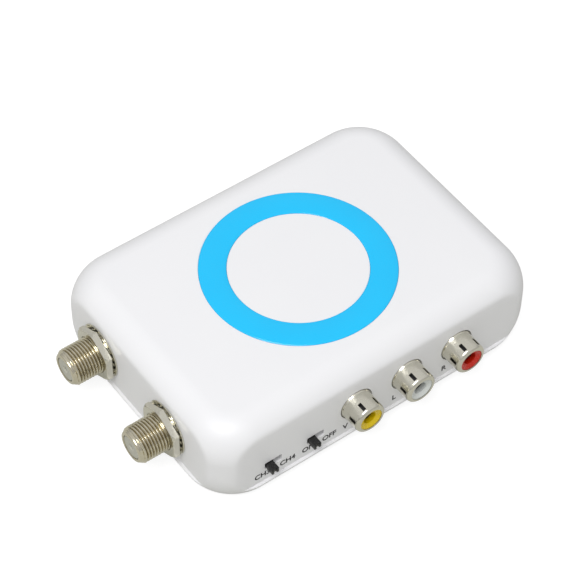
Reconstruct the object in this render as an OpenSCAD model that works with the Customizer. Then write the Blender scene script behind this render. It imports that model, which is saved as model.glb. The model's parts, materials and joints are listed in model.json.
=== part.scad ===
// Television RF modulator: a white pillow-shaped case with a blue ring, two threaded
// aerial sockets on the left end, three phono jacks and two slide switches in front.
// Millimetres. The origin is on the table under the middle of the ring. +X points to
// the right end, +Y to the back and +Z up.

/* [Case] */
// Length of the case at its widest outline, left to right
case_l = 97.6; // [94:0.2:110]
// Width of the case at its widest outline, front to back
case_w = 70.8; // [68:0.2:84]
// Height of the case
case_h = 25; // [24:0.5:30]
// Corner radius of the widest outline
corner_r = 14; // [12.5:0.5:16]
// Wall of the upper shell at the flat connector panels
wall = 2.1; // [1.8:0.1:2.4]
// Thickness of the lid over the parts inside
roof_t = 2; // [1.8:0.1:2.4]
// How far the upper edge rounds in from the widest outline
top_round_w = 9; // [7:0.5:9.5]
// How far down from the top the upper edge is round
top_round_h = 10.2; // [8:0.2:11]
// How far the lower edge tucks in from the widest outline
foot_round_w = 5; // [4:0.5:6]
// How far up from the table the lower edge is round
foot_round_h = 10.3; // [9:0.1:11]
// Height of the parting line between the shells
seam_h = 2; // [1.8:0.1:2.6]
// Visible gap along the parting line
seam_gap = 0.1; // [0.06:0.02:0.2]

/* [Flat panels] */
// Depth of the flat front and left panels inside the widest outline
panel_depth = 1.9; // [1.2:0.1:2.2]
// Height of the lower edge of the flat panels
panel_low = 4.8; // [4.4:0.1:5.4]
// Height of the sloping ledge under the panels
ledge_h = 1; // [0.6:0.1:1.4]
// Softness of the crease round a panel
crease_soft = 0.5; // [0.2:0.1:0.8]

/* [Ring] */
// Outer radius of the blue ring
ring_outer_r = 24; // [20:0.5:25.5]
// Width of the blue band from its outer edge to its inner one
ring_w = 6.9; // [4:0.1:12]
// Depth of the groove that holds the ring
ring_groove = 1.1; // [0.8:0.1:1.3]
// How far the ring stands proud of the case
ring_proud = 0.15; // [0.05:0.05:0.3]
// Bevel along both edges of the ring
ring_bevel = 0.25; // [0.1:0.05:0.4]

/* [Aerial sockets] */
// Place of the back socket along the left end, as a share of the case's width
antenna_share = 0.2147; // [0.2:0.005:0.22]
// Place of the front socket along the left end, as a share of the case's width
tv_share = -0.1808; // [-0.19:0.005:-0.17]
// How far the socket axes lie below the middle of the panel
aerial_drop = 0.63; // [0.1:0.05:0.9]
// Radius of the threaded barrel
barrel_r = 4.7625; // [4.6:0.0125:4.85]
// Reach of the barrel in front of the panel
barrel_reach = 10.4; // [9:0.1:13]
// Width of the hexagon nut across its flats
nut_flats = 12.5; // [12:0.1:13]
// Thickness of the hexagon nut
nut_t = 1.8; // [1.6:0.1:2.4]
// Teeth round the lock washer
washer_teeth = 18; // [12:1:24]

/* [Phono jacks] */
// Places of the three jacks along the front, as shares of the case's length
jack_shares = [-0.0768, 0.0768, 0.2305];
// How far the jack axes lie below the middle of the panel
phono_drop = 0.13; // [0:0.05:0.6]
// Outer radius of the metal sleeve
sleeve_r = 4.15; // [4.05:0.05:4.2]
// Reach of the sleeve in front of the panel
sleeve_reach = 5.8; // [5.4:0.1:8]
// Metal thickness of the sleeve
sleeve_t = 0.4; // [0.3:0.05:0.45]
// Radius of the panel holes round the sleeves
phono_hole_r = 4.6; // [4.45:0.05:4.8]
// Radius of the hole for the plug pin
pin_hole_r = 1.7; // [1.6:0.05:1.8]

/* [Slide switches] */
// Places of the two switches along the front, as shares of the case's length
switch_shares = [-0.3222, -0.1977];
// How far the knobs lie below the middle of the panel
switch_drop = 3.78; // [3.5:0.05:3.8]
// Travel of the knobs
travel = 2.4; // [1.8:0.1:2.5]
// Width of a knob
knob_w = 2; // [1.6:0.1:2.1]
// Height of a knob
knob_h = 1.6; // [1.4:0.1:1.8]
// Reach of a knob in front of the panel
knob_reach = 2.5; // [2:0.1:3.5]

/* [Power socket] */
// Radius of the socket hole for the barrel plug
power_bore_r = 3.15; // [3:0.05:3.25]
// Radius of the centre pin
power_pin_r = 1; // [0.9:0.05:1.25]
// How far the socket axis lies below the middle of the panels
power_drop = 0.93; // [0.5:0.1:1.1]
// Depth of the socket hole
power_bore_l = 9; // [8:0.5:9.5]

/* [Board and shield] */
// Height of the underside of the board
board_z = 4.8; // [4.7:0.1:5.2]
// Thickness of the board
board_t = 1.6; // [1.2:0.2:1.6]
// Room between the shield can and the inside of the lid
can_headroom = 5.2; // [4.4:0.2:5.4]
// Metal thickness of the shield can
can_t = 0.5; // [0.3:0.1:0.6]
// Length of the shield can along the case
can_l = 31.5; // [28:0.5:32]

/* [Hidden] */

// Overrun of every cut past the face that it opens
cut = 0.5;
// Gap between pieces that rest face to face
touch = 0.05;
// Clearance round a piece that slides
slip = 0.2;
// Steps of the lofted case: round each corner, up the round top, up the tucked foot
corner_steps = 13;
top_steps = 13;
foot_steps = 4;
// Steps of the hollow: round each corner, up the inside of the roof
hollow_corner_steps = 6;
hollow_top_steps = 6;
// Facets of plain round pieces, of the ring and of the small rolled mouths
$fn = 48;
ring_facets = 128;
mouth_facets = 32;

// Places of the two flat panels and of the flat round the power socket
front_y = -case_w / 2 + panel_depth;
left_x = -case_l / 2 + panel_depth;
right_x = case_l / 2 - panel_depth;
// Middle height of the panels, between the ledge and the round top
panel_top = case_h - top_round_h * (1 - sin(acos(1 - panel_depth / top_round_w)));
panel_mid = (panel_low + panel_top) / 2;
// Inset of the inner face of the side walls
inner_inset = panel_depth + wall;
inner_r = corner_r - inner_inset;

// Ring band
ring_inner_r = ring_outer_r - ring_w;

// Screw towers that hold the shells together
tower_out = [1.2, 2.6];
tower_x = case_l / 2 - corner_r + tower_out[0];
tower_y = case_w / 2 - corner_r + tower_out[1];
tower_r = 3;
board_clearance = 0.5;
tower_hole_r = tower_r + board_clearance;
tower_below_board = 0.5;
tower_low = board_z - tower_below_board;
lower_tower_r = 4;
pilot_r = 1.3;
pilot_l = 7;
head_well_r = 2.7;
head_well_l = 2.5;
screw_r = 1.2;
screw_l = 8;
head_r = 2.3;
head_h = 1.7;

// Rim of the lower shell that locates it inside the upper one
rim_t = 1.2;
rim_below_board = 1;
rim_top = board_z - rim_below_board;

// Board and its fixing posts
board_l = case_l - 2 * inner_inset - 2 * rim_t;
board_w = case_w - 2 * inner_inset - 2 * rim_t;
board_r = inner_r - rim_t;
board_top = board_z + board_t;
post_r = 2.2;
post_pilot_r = 0.95;
board_hole_r = 1.2;
board_screw_r = 0.9;
board_screw_l = 3.4;
board_head_r = 2;
board_head_h = 1.3;
rest_w = 1.6;
rest_l = 16;
rest_from_can = 10.7;

// Aerial sockets, measured outwards from the face of the left panel
aerial_flange_r = 6;
aerial_flange_t = 1;
aerial_clearance = 0.2;
aerial_hole_r = barrel_r + aerial_clearance;
shank_relief = 0.25;
shank_r = barrel_r - shank_relief;
aerial_bore_r = 3.1;
nose_l = 1.4;
nose_tip_r = 4.05;
nose_face_r = 3.35;
nose_chamfer_l = 0.4;
insulator_recess = 0.2;
insulator_tail = 1.2;
wire_hole_r = 0.7;
wire_hole_l = 2.5;
spring_r = 1.3;
spring_l = 5;
spring_bore_r = 0.5;
solder_pin_r = 0.5;
solder_pin_l = 2.4;
flat_washer_r = 7.1;
flat_washer_t = 0.3;
lock_washer_r = 6.75;
lock_washer_root_r = 6.1;
lock_washer_t = 0.35;
tooth_w = 1.3;
nut_chamfer = 0.5;
nut_face_wider = 0.4;
aerial_flange_z = wall + touch;

// Shield can round the modulator circuit, between the two left screw towers
can_left = left_x + aerial_flange_z + aerial_flange_t + touch;
can_front_gap = 2;
can_back_gap = 1;
can_front = -tower_y + tower_r + can_front_gap;
can_back = tower_y - tower_r - can_back_gap;
can_mid = (can_front + can_back) / 2;
can_w = can_back - can_front;
can_h = case_h - roof_t - board_top - can_headroom;
lid_lip = 2.5;
lid_t = can_t;
can_door_r = 3.4;

// Phono jacks, measured outwards from the face of the front panel
collar_step = 0.2;
collar_r = sleeve_r + collar_step;
collar_reach = 0.1;
block_gap = 0.25;
block_wall = 1.1;
block_depth = 11;
sleeve_seat = 2;
block_front = -wall - block_gap;
seat_floor = block_front - sleeve_seat;
block_back = block_front - block_depth;
rim_roll = 0.9;
rim_lip_r = 3.05;
slots = 6;
slot_w = 0.9;
slot_l = 2.2;
slot_lip = 0.1;
slot_angle = 50;
insert_recess = 0.1;
insert_cap_t = 0.75;
insert_waist_r = 2.7;
insert_waist_l = 3;
pin_lead_in = 0.35;
pin_guide_l = 3;
contact_grip = 0.2;
contact_r = pin_hole_r - contact_grip;
contact_t = 0.3;
contact_tab_w = 1.2;
contact_bore_r = contact_r + contact_t + 2 * touch;

// Slide switches, measured inwards from the face of the front panel
frame_w = 8.2;
frame_depth = 3.2;
frame_t = 0.35;
frame_front = wall + block_gap;
slider_w = 4.6;
slider_h = 3;
slider_t = 1;
base_t = 1;
knob_groove_w = 0.7;
knob_groove_l = 0.45;
terminal_w = 0.6;
terminal_t = 0.3;
terminal_pitch = 2.5;
terminal_foot_l = 1.2;

// Power socket, measured outwards from the flat on the right end
power_flat_r = 6.5;
power_nose_r = 4;
power_nose_recess = 0.3;
power_block_w = 9;
power_block_l = 10.4;
power_pin_recess = 0.8;
power_pin_root = 1.2;
power_root_step = 0.3;
power_root_r = power_pin_r + power_root_step;
power_pin_chamfer = 0.35;

// Board to the right of the can, and the parts there as shares of its size
bay_left = can_left + can_l;
bay_l = case_l / 2 - inner_inset - bay_left;
function bay_place(share) = [bay_left + share[0] * bay_l, share[1] * board_w];
crystal_shares = [0.267, 0.066];
capacitor_shares = [[0.284, 0.281], [0.442, 0.331], [0.6, 0.199]];
regulator_shares = [0.46, 0.132];
post_from_can = 4.2;
post_from_tower = 5;
post_from_block = 4.65;
post_back_share = 0.4387;

// Parts on the board, those under the can placed from it
chip_size = [10.3, 7.5, 2.3];
chip_from_can = 12.7;
chip_at = [can_left + chip_from_can, can_mid];
chip_leg_t = 0.3;
chip_leg_l = 1.2;
chip_leg_w = 0.45;
chip_pitch = 1.27;
chip_legs = 8;
coil_from_can = 25.2;
coil_spread_share = 0.256;
coil_at = [
    for (side = [1, -1])
        [can_left + coil_from_can, can_mid + side * coil_spread_share * can_w]
];
coil_w = 7;
coil_headroom = 3.8;
coil_h = can_h - coil_headroom;
coil_core_r = 2;
coil_core_h = 0.5;
crystal_at = bay_place(crystal_shares);
crystal_l = 10.4;
crystal_r = 2.2;
crystal_h = 3.6;
crystal_flange = 0.5;
crystal_flange_t = 0.4;
capacitor_at = [for (share = capacitor_shares) bay_place(share)];
capacitor_r = 3.15;
capacitor_h = 7.5;
capacitor_groove = 0.35;
capacitor_groove_shares = [0.16, 0.2, 0.24];
regulator_at = bay_place(regulator_shares);
regulator_w = 4.6;
regulator_l = 4.6;
regulator_h = 3.6;
regulator_flat = 1.1;

// Insets and heights along the rounded sides, by the angle of the quarter ellipse
function top_inset(a) = top_round_w * (1 - cos(a));
function top_height(a) = case_h - top_round_h * (1 - sin(a));
function foot_inset(a) = foot_round_w * (1 - cos(a));
function foot_height(a) = foot_round_h * (1 - sin(a));
function foot_angle(z) = asin(1 - z / foot_round_h);

// Depth of the flat panels at a height: none below the ledge, full above it
function panel_at(z) = panel_depth * min(max((z - panel_low + ledge_h) / ledge_h, 0), 1);

// A value kept above a limit, with a soft turn from one to the other
function soft_floor(v, limit) =
    limit + ((v - limit) + sqrt((v - limit) * (v - limit) + crease_soft * crease_soft)) / 2;

// One closed outline of the case at a given inset and height
function outline(inset, z, steps, flat) = [
    for (c = [0:3], i = [0:steps])
        let (
            a = 90 * c + 90 * i / steps,
            side_x = (c == 0 || c == 3) ? 1 : -1,
            side_y = c < 2 ? 1 : -1,
            r = corner_r - inset,
            x = side_x * (case_l / 2 - corner_r) + r * cos(a),
            y = side_y * (case_w / 2 - corner_r) + r * sin(a)
        )
        flat
            ? [soft_floor(x, -case_l / 2 + panel_at(z)), soft_floor(y, -case_w / 2 + panel_at(z)), z]
            : [x, y, z]
];

// Solid through a stack of outlines, each given as [inset, height]
module loft(slices, steps, flat) {
    n = 4 * (steps + 1);
    last = len(slices) - 1;
    points = [for (s = slices) each outline(s[0], s[1], steps, flat)];
    sides = [
        for (k = [0:last - 1], j = [0:n - 1])
            let (a = k * n + j, b = k * n + (j + 1) % n)
            each [[a, a + n, b + n], [a, b + n, b]]
    ];
    caps = [[for (j = [0:n - 1]) j], [for (j = [n - 1:-1:0]) last * n + j]];
    polyhedron(points = points, faces = concat(caps, sides), convexity = 4);
}

// Heights at which the outer form is cut into slices
ledge_angle = foot_angle(panel_low - ledge_h);
panel_angle = foot_angle(panel_low);
seam_angle = foot_angle(seam_h);
upper_slices = concat(
    [for (a = [seam_angle, (seam_angle + ledge_angle) / 2, ledge_angle]) [foot_inset(a), foot_height(a)]],
    [for (i = [0:foot_steps]) let (a = panel_angle * (1 - i / foot_steps)) [foot_inset(a), foot_height(a)]],
    [for (i = [0:top_steps]) let (a = 90 * i / top_steps) [top_inset(a), top_height(a)]]
);
lower_slices = concat(
    [[foot_round_w, -cut]],
    [
        for (i = [0:foot_steps])
            let (a = 90 + (foot_angle(seam_h - seam_gap) - 90) * i / foot_steps)
            [foot_inset(a), foot_height(a)]
    ]
);

// The hollow keeps one wall below the curved roof and draws straight down
function roof_normal(a) = let (n = [cos(a) / top_round_w, sin(a) / top_round_h]) n / norm(n);
function roof_slice(a) =
    [top_inset(a) + roof_t * roof_normal(a)[0], top_height(a) - roof_t * roof_normal(a)[1]];
hollow_slices = concat(
    [[inner_inset, -cut]],
    [
        for (i = [0:hollow_top_steps])
            let (s = roof_slice(90 * i / hollow_top_steps))
            [max(s[0], inner_inset), s[1]]
    ]
);

// Copies at the four screw towers
module at_towers() {
    for (x = [-tower_x, tower_x], y = [-tower_y, tower_y])
        translate([x, y, 0])
            children();
}

// Copies at the four board posts, clear of the can, the towers and the jack block
post_x = [bay_left + post_from_can, tower_x - post_from_tower];
post_y = [front_y - block_back + post_from_block, post_back_share * board_w];
module at_posts() {
    for (x = post_x, y = post_y)
        translate([x, y, 0])
            children();
}

// A child drawn along +Z leaves through the left panel, the front panel or the right end
module out_left(y) {
    translate([left_x, y, aerial_z])
        rotate([0, -90, 0])
            children();
}
module out_front(x) {
    translate([x, front_y, phono_z])
        rotate([90, 0, 0])
            children();
}
module out_right() {
    translate([right_x, 0, power_z])
        rotate([0, 90, 0])
            children();
}

// Flat tube from one height to another
module tube(outer_r, hole_r, low, high) {
    translate([0, 0, low])
        difference() {
            cylinder(r = outer_r, h = high - low);
            translate([0, 0, -cut])
                cylinder(r = hole_r, h = high - low + 2 * cut);
        }
}

// Rounded rectangle, centred
module round_plate(l, w, r, t) {
    linear_extrude(height = t)
        union() {
            square([l - 2 * r, w], center = true);
            square([l, w - 2 * r], center = true);
            for (x = [-l / 2 + r, l / 2 - r], y = [-w / 2 + r, w / 2 - r])
                translate([x, y])
                    circle(r = r);
        }
}

// Axes of the sockets, jacks and switches
antenna_y = antenna_share * case_w;
tv_y = tv_share * case_w;
video_x = jack_shares[0] * case_l;
left_jack_x = jack_shares[1] * case_l;
right_jack_x = jack_shares[2] * case_l;
channel_x = switch_shares[0] * case_l;
power_x = switch_shares[1] * case_l;
aerial_z = panel_mid - aerial_drop;
phono_z = panel_mid - phono_drop;
switch_z = panel_mid - switch_drop;
power_z = panel_mid - power_drop;

// Openings of the upper shell
module shell_openings() {
    for (y = [antenna_y, tv_y])
        out_left(y)
            translate([0, 0, -wall - cut])
                cylinder(r = aerial_hole_r, h = wall + 2 * cut);
    for (x = [video_x, left_jack_x, right_jack_x])
        out_front(x)
            translate([0, 0, -wall - cut])
                cylinder(r = phono_hole_r, h = wall + 2 * cut);
    for (x = [channel_x, power_x])
        translate([x - window_w / 2, front_y - cut, switch_z - window_h / 2])
            cube([window_w, wall + 2 * cut, window_h]);
    out_right() {
        cylinder(r = power_flat_r, h = panel_depth + cut);
        translate([0, 0, -wall - cut])
            cylinder(r = power_nose_r + slip, h = wall + 2 * cut);
    }
}
window_w = knob_w + travel + 2 * slip;
window_h = knob_h + 2 * slip;

module upper_shell() {
    color("white")
        difference() {
            union() {
                difference() {
                    loft(upper_slices, corner_steps, true);
                    loft(hollow_slices, hollow_corner_steps, false);
                }
                at_towers()
                    translate([0, 0, tower_low])
                        cylinder(r = tower_r, h = case_h - roof_t / 2 - tower_low);
            }
            at_towers()
                translate([0, 0, tower_low - cut])
                    cylinder(r = pilot_r, h = pilot_l + cut);
            translate([0, 0, case_h - ring_groove])
                tube(ring_outer_r, ring_inner_r, 0, ring_groove + cut);
            shell_openings();
        }
}

module lower_shell() {
    color("white")
        difference() {
            union() {
                loft(lower_slices, corner_steps, false);
                translate([0, 0, seam_h / 2])
                    difference() {
                        round_plate(
                            case_l - 2 * inner_inset - 2 * slip, case_w - 2 * inner_inset - 2 * slip,
                            inner_r - slip, rim_top - seam_h / 2
                        );
                        translate([0, 0, seam_h / 2 - seam_gap])
                            round_plate(
                                case_l - 2 * inner_inset - 2 * slip - 2 * rim_t,
                                case_w - 2 * inner_inset - 2 * slip - 2 * rim_t,
                                inner_r - slip - rim_t, rim_top
                            );
                    }
                at_towers()
                    translate([0, 0, seam_h / 2])
                        cylinder(r = lower_tower_r, h = tower_low - touch - seam_h / 2);
                at_posts()
                    translate([0, 0, seam_h / 2])
                        cylinder(r = post_r, h = board_z - touch - seam_h / 2);
                translate([can_left + rest_from_can, -rest_l / 2, seam_h / 2])
                    cube([rest_w, rest_l, board_z - touch - seam_h / 2]);
            }
            translate([-case_l / 2, -case_w / 2, -2 * cut])
                cube([case_l, case_w, 2 * cut]);
            at_towers() {
                translate([0, 0, -cut])
                    cylinder(r = head_well_r, h = head_well_l + cut);
                cylinder(r = screw_r + slip, h = tower_low + cut);
            }
            at_posts()
                translate([0, 0, seam_h - seam_gap])
                    cylinder(r = post_pilot_r, h = board_z);
        }
}

module ring_inlay() {
    low = case_h - ring_groove + touch;
    high = case_h + ring_proud;
    color("deepskyblue")
        rotate_extrude($fn = ring_facets)
            polygon([
                [ring_inner_r + touch, low],
                [ring_outer_r - touch, low],
                [ring_outer_r - touch, high - ring_bevel],
                [ring_outer_r - touch - ring_bevel, high],
                [ring_inner_r + touch + ring_bevel, high],
                [ring_inner_r + touch, high - ring_bevel]
            ]);
}

module case_screws() {
    color("silver")
        at_towers() {
            translate([0, 0, head_well_l - head_h])
                cylinder(r = head_r, h = head_h);
            translate([0, 0, head_well_l])
                cylinder(r = screw_r, h = screw_l);
        }
}

module circuit_board() {
    color("darkgreen")
        translate([0, 0, board_z])
            difference() {
                round_plate(board_l, board_w, board_r, board_t);
                at_towers()
                    translate([0, 0, -cut])
                        cylinder(r = tower_hole_r, h = board_t + 2 * cut);
                at_posts()
                    translate([0, 0, -cut])
                        cylinder(r = board_hole_r, h = board_t + 2 * cut);
            }
}

module board_screws() {
    color("silver")
        at_posts()
            translate([0, 0, board_top]) {
                cylinder(r = board_head_r, h = board_head_h);
                translate([0, 0, -board_screw_l])
                    cylinder(r = board_screw_r, h = board_screw_l);
            }
}

// Box of sheet metal, open above and below, round the modulator circuit
module shield_can() {
    color("lightgray")
        difference() {
            translate([can_left, can_front, board_top])
                difference() {
                    cube([can_l, can_w, can_h]);
                    translate([can_t, can_t, -cut])
                        cube([can_l - 2 * can_t, can_w - 2 * can_t, can_h + 2 * cut]);
                }
            for (y = [antenna_y, tv_y])
                out_left(y)
                    translate([0, 0, left_x - can_left - can_t - cut])
                        cylinder(r = can_door_r, h = can_t + 2 * cut);
        }
}

// Lid that presses down over the can
module shield_lid() {
    outer = can_t + touch;
    color("gainsboro")
        translate([can_left, can_front - outer, board_top + can_h + touch - lid_lip])
            difference() {
                cube([can_l + outer, can_w + 2 * outer, lid_lip + lid_t]);
                translate([-cut, can_t, -cut])
                    cube([can_l + touch + cut, can_w + 2 * touch, lid_lip + cut]);
            }
}

// Threaded socket body: flange inside the case, barrel through the panel, smooth nose
module aerial_body(y) {
    back = -aerial_flange_z - aerial_flange_t;
    color("silver")
        out_left(y)
            rotate_extrude()
                polygon([
                    [aerial_bore_r, back],
                    [aerial_flange_r, back],
                    [aerial_flange_r, -aerial_flange_z],
                    [shank_r, -aerial_flange_z],
                    [shank_r, nut_low + nut_t],
                    [barrel_r, nut_low + nut_t],
                    [barrel_r, barrel_reach - nose_l],
                    [nose_tip_r, barrel_reach - nose_chamfer_l],
                    [nose_face_r, barrel_reach],
                    [aerial_bore_r, barrel_reach]
                ]);
}

module aerial_insulator(y) {
    front = barrel_reach - insulator_recess;
    back = -aerial_flange_z - aerial_flange_t - insulator_tail;
    color("ivory")
        out_left(y)
            rotate_extrude()
                polygon([
                    [wire_hole_r, front],
                    [wire_hole_r, front - wire_hole_l],
                    [spring_r + touch, front - wire_hole_l],
                    [spring_r + touch, front - wire_hole_l - spring_l - touch],
                    [solder_pin_r + touch, front - wire_hole_l - spring_l - touch],
                    [solder_pin_r + touch, back],
                    [aerial_bore_r - touch, back],
                    [aerial_bore_r - touch, front]
                ]);
}

// Spring tube that grips the plug's wire, with a solder pin behind
module aerial_contact(y) {
    front = barrel_reach - insulator_recess - wire_hole_l - touch;
    back = -aerial_flange_z - aerial_flange_t - insulator_tail - solder_pin_l;
    color("gold")
        out_left(y)
            rotate_extrude()
                polygon([
                    [0, back],
                    [solder_pin_r, back],
                    [solder_pin_r, front - spring_l],
                    [spring_r, front - spring_l],
                    [spring_r, front],
                    [spring_bore_r, front],
                    [spring_bore_r, front - spring_l + solder_pin_r],
                    [0, front - spring_l + solder_pin_r]
                ]);
}

module aerial_flat_washer(y) {
    color("silver")
        out_left(y)
            tube(flat_washer_r, aerial_hole_r, touch, touch + flat_washer_t);
}

// Toothed washer between the flat washer and the nut
module aerial_lock_washer(y) {
    low = 2 * touch + flat_washer_t;
    color("dimgray")
        out_left(y)
            translate([0, 0, low])
                difference() {
                    union() {
                        cylinder(r = lock_washer_root_r, h = lock_washer_t);
                        for (i = [0:washer_teeth - 1])
                            rotate([0, 0, 360 * i / washer_teeth])
                                translate([0, -tooth_w / 2, 0])
                                    cube([lock_washer_r, tooth_w, lock_washer_t]);
                    }
                    translate([0, 0, -cut])
                        cylinder(r = aerial_hole_r, h = lock_washer_t + 2 * cut);
                }
}

nut_low = 3 * touch + flat_washer_t + lock_washer_t;
module aerial_nut(y) {
    corner = nut_flats / sqrt(3);
    color("silver")
        out_left(y)
            translate([0, 0, nut_low])
                difference() {
                    intersection() {
                        cylinder(r = corner, h = nut_t, $fn = 6);
                        rotate_extrude()
                            polygon([
                                [0, 0],
                                [corner, 0],
                                [corner, nut_t - nut_chamfer],
                                [nut_flats / 2 + nut_face_wider, nut_t],
                                [0, nut_t]
                            ]);
                    }
                    translate([0, 0, -cut])
                        cylinder(r = shank_r + touch, h = nut_t + 2 * cut);
                }
}

module antenna_socket_body() { aerial_body(antenna_y); }
module antenna_socket_insulator() { aerial_insulator(antenna_y); }
module antenna_socket_contact() { aerial_contact(antenna_y); }
module antenna_socket_flat_washer() { aerial_flat_washer(antenna_y); }
module antenna_socket_lock_washer() { aerial_lock_washer(antenna_y); }
module antenna_socket_nut() { aerial_nut(antenna_y); }
module tv_socket_body() { aerial_body(tv_y); }
module tv_socket_insulator() { aerial_insulator(tv_y); }
module tv_socket_contact() { aerial_contact(tv_y); }
module tv_socket_flat_washer() { aerial_flat_washer(tv_y); }
module tv_socket_lock_washer() { aerial_lock_washer(tv_y); }
module tv_socket_nut() { aerial_nut(tv_y); }

// Black moulding behind the front panel that carries the three jacks on the board
module phono_block() {
    half = sleeve_r + block_wall;
    color("dimgray")
        difference() {
            translate([video_x - half, front_y - block_front, board_top])
                cube([right_jack_x - video_x + 2 * half, block_depth, phono_z - board_top + half]);
            for (x = [video_x, left_jack_x, right_jack_x])
                out_front(x) {
                    translate([0, 0, seat_floor])
                        cylinder(r = collar_r + touch, h = sleeve_seat + cut);
                    translate([0, 0, block_back - cut])
                        cylinder(r = contact_bore_r, h = block_depth + cut);
                }
        }
}

// Drawn metal sleeve with a rolled mouth and six slots behind it
module phono_sleeve(x) {
    inner_r = sleeve_r - sleeve_t;
    slot_start = sleeve_reach - rim_roll - slot_lip - slot_l;
    color("silver")
        out_front(x)
            difference() {
                rotate_extrude()
                    polygon(concat(
                        [
                            [inner_r, seat_floor + touch],
                            [collar_r, seat_floor + touch],
                            [collar_r, collar_reach],
                            [sleeve_r, collar_reach]
                        ],
                        [
                            for (a = [0:360 / mouth_facets:90])
                                [
                                    sleeve_r - rim_roll + rim_roll * cos(a),
                                    sleeve_reach - rim_roll + rim_roll * sin(a)
                                ]
                        ],
                        [
                            [rim_lip_r, sleeve_reach],
                            [rim_lip_r, sleeve_reach - insert_recess],
                            [inner_r, sleeve_reach - insert_recess - sleeve_t]
                        ]
                    ));
                for (i = [0:slots - 1])
                    rotate([0, 0, slot_angle + 360 * i / slots])
                        translate([inner_r - cut, -slot_w / 2, slot_start])
                            cube([sleeve_t + 2 * cut, slot_w, slot_l]);
            }
}

// Coloured plastic core with the hole for the plug pin, waisted behind its cap
module phono_insert(x, tint) {
    front = sleeve_reach - insert_recess - touch;
    shoulder = front - sleeve_t;
    core_r = sleeve_r - sleeve_t - touch;
    back = seat_floor + touch;
    color(tint)
        out_front(x)
            rotate_extrude()
                polygon([
                    [pin_hole_r + pin_lead_in, front],
                    [pin_hole_r, front - pin_lead_in],
                    [pin_hole_r, front - pin_lead_in - pin_guide_l],
                    [contact_bore_r, front - pin_lead_in - pin_guide_l],
                    [contact_bore_r, back],
                    [core_r, back],
                    [core_r, front - insert_cap_t - insert_waist_l],
                    [insert_waist_r, front - insert_cap_t - insert_waist_l],
                    [insert_waist_r, front - insert_cap_t],
                    [core_r, front - insert_cap_t],
                    [core_r, shoulder],
                    [rim_lip_r - touch, front]
                ]);
}

// Spring tube behind the pin hole, with a tab that comes down to the board
module phono_contact(x) {
    front = sleeve_reach - insert_recess - pin_lead_in - pin_guide_l - 2 * touch;
    back = block_back - contact_t;
    tube_r = contact_r + contact_t;
    color("gold")
        out_front(x) {
            tube(tube_r, contact_r, back - touch, front);
            translate([-contact_tab_w / 2, board_top - phono_z, back - touch])
                cube([contact_tab_w, phono_z - board_top - tube_r + contact_t / 2, contact_t]);
        }
}

module video_jack_sleeve() { phono_sleeve(video_x); }
module video_jack_insert() { phono_insert(video_x, "gold"); }
module video_jack_contact() { phono_contact(video_x); }
module left_jack_sleeve() { phono_sleeve(left_jack_x); }
module left_jack_insert() { phono_insert(left_jack_x, "white"); }
module left_jack_contact() { phono_contact(left_jack_x); }
module right_jack_sleeve() { phono_sleeve(right_jack_x); }
module right_jack_insert() { phono_insert(right_jack_x, "red"); }
module right_jack_contact() { phono_contact(right_jack_x); }

// Child drawn from the middle of a switch, with +Y going into the case
module in_front(x) {
    translate([x, front_y, switch_z])
        children();
}
frame_h = 2 * (switch_z - board_top);
frame_back = frame_front + frame_depth;
slider_front = frame_front + frame_t + touch;
base_front = frame_back - base_t;

// Folded metal frame, open at the back, with a slot for the knob
module switch_frame(x) {
    color("silver")
        in_front(x)
            difference() {
                translate([-frame_w / 2, frame_front, -frame_h / 2])
                    cube([frame_w, frame_depth, frame_h]);
                translate([-frame_w / 2 + frame_t, frame_front + frame_t, -frame_h / 2 + frame_t])
                    cube([frame_w - 2 * frame_t, frame_depth, frame_h - 2 * frame_t]);
                translate([-window_w / 2, frame_front - cut, -window_h / 2])
                    cube([window_w, frame_t + 2 * cut, window_h]);
            }
}

// Insulating plate that closes the back of the frame
module switch_base(x) {
    inner_w = frame_w - 2 * frame_t - 2 * touch;
    inner_h = frame_h - 2 * frame_t - 2 * touch;
    color("saddlebrown")
        in_front(x)
            translate([-inner_w / 2, base_front, -inner_h / 2])
                cube([inner_w, base_t, inner_h]);
}

// Three terminals that bend down from the base to the board
module switch_terminals(x) {
    color("gold")
        in_front(x)
            for (i = [-1:1])
                translate([i * terminal_pitch - terminal_w / 2, frame_back + touch, -frame_h / 2]) {
                    cube([terminal_w, terminal_t, frame_h / 2]);
                    cube([terminal_w, terminal_foot_l, terminal_t]);
                }
}

// Knob with its slider; it rests at the left end of its travel
module switch_knob(x) {
    slider_back = base_front - slip;
    color("black")
        in_front(x - travel / 2)
            difference() {
                union() {
                    translate([-knob_w / 2, -knob_reach, -knob_h / 2])
                        cube([knob_w, knob_reach + slider_front + slider_t / 2, knob_h]);
                    translate([-slider_w / 2, slider_front, -slider_h / 2])
                        cube([slider_w, slider_back - slider_front, slider_h]);
                }
                translate([-knob_groove_w / 2, -knob_reach - cut, -knob_h])
                    cube([knob_groove_w, knob_groove_l + cut, 2 * knob_h]);
            }
}

module channel_switch_frame() { switch_frame(channel_x); }
module channel_switch_base() { switch_base(channel_x); }
module channel_switch_terminals() { switch_terminals(channel_x); }
module channel_switch_knob() { switch_knob(channel_x); }
module power_switch_frame() { switch_frame(power_x); }
module power_switch_base() { switch_base(power_x); }
module power_switch_terminals() { switch_terminals(power_x); }
module power_switch_knob() { switch_knob(power_x); }

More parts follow.
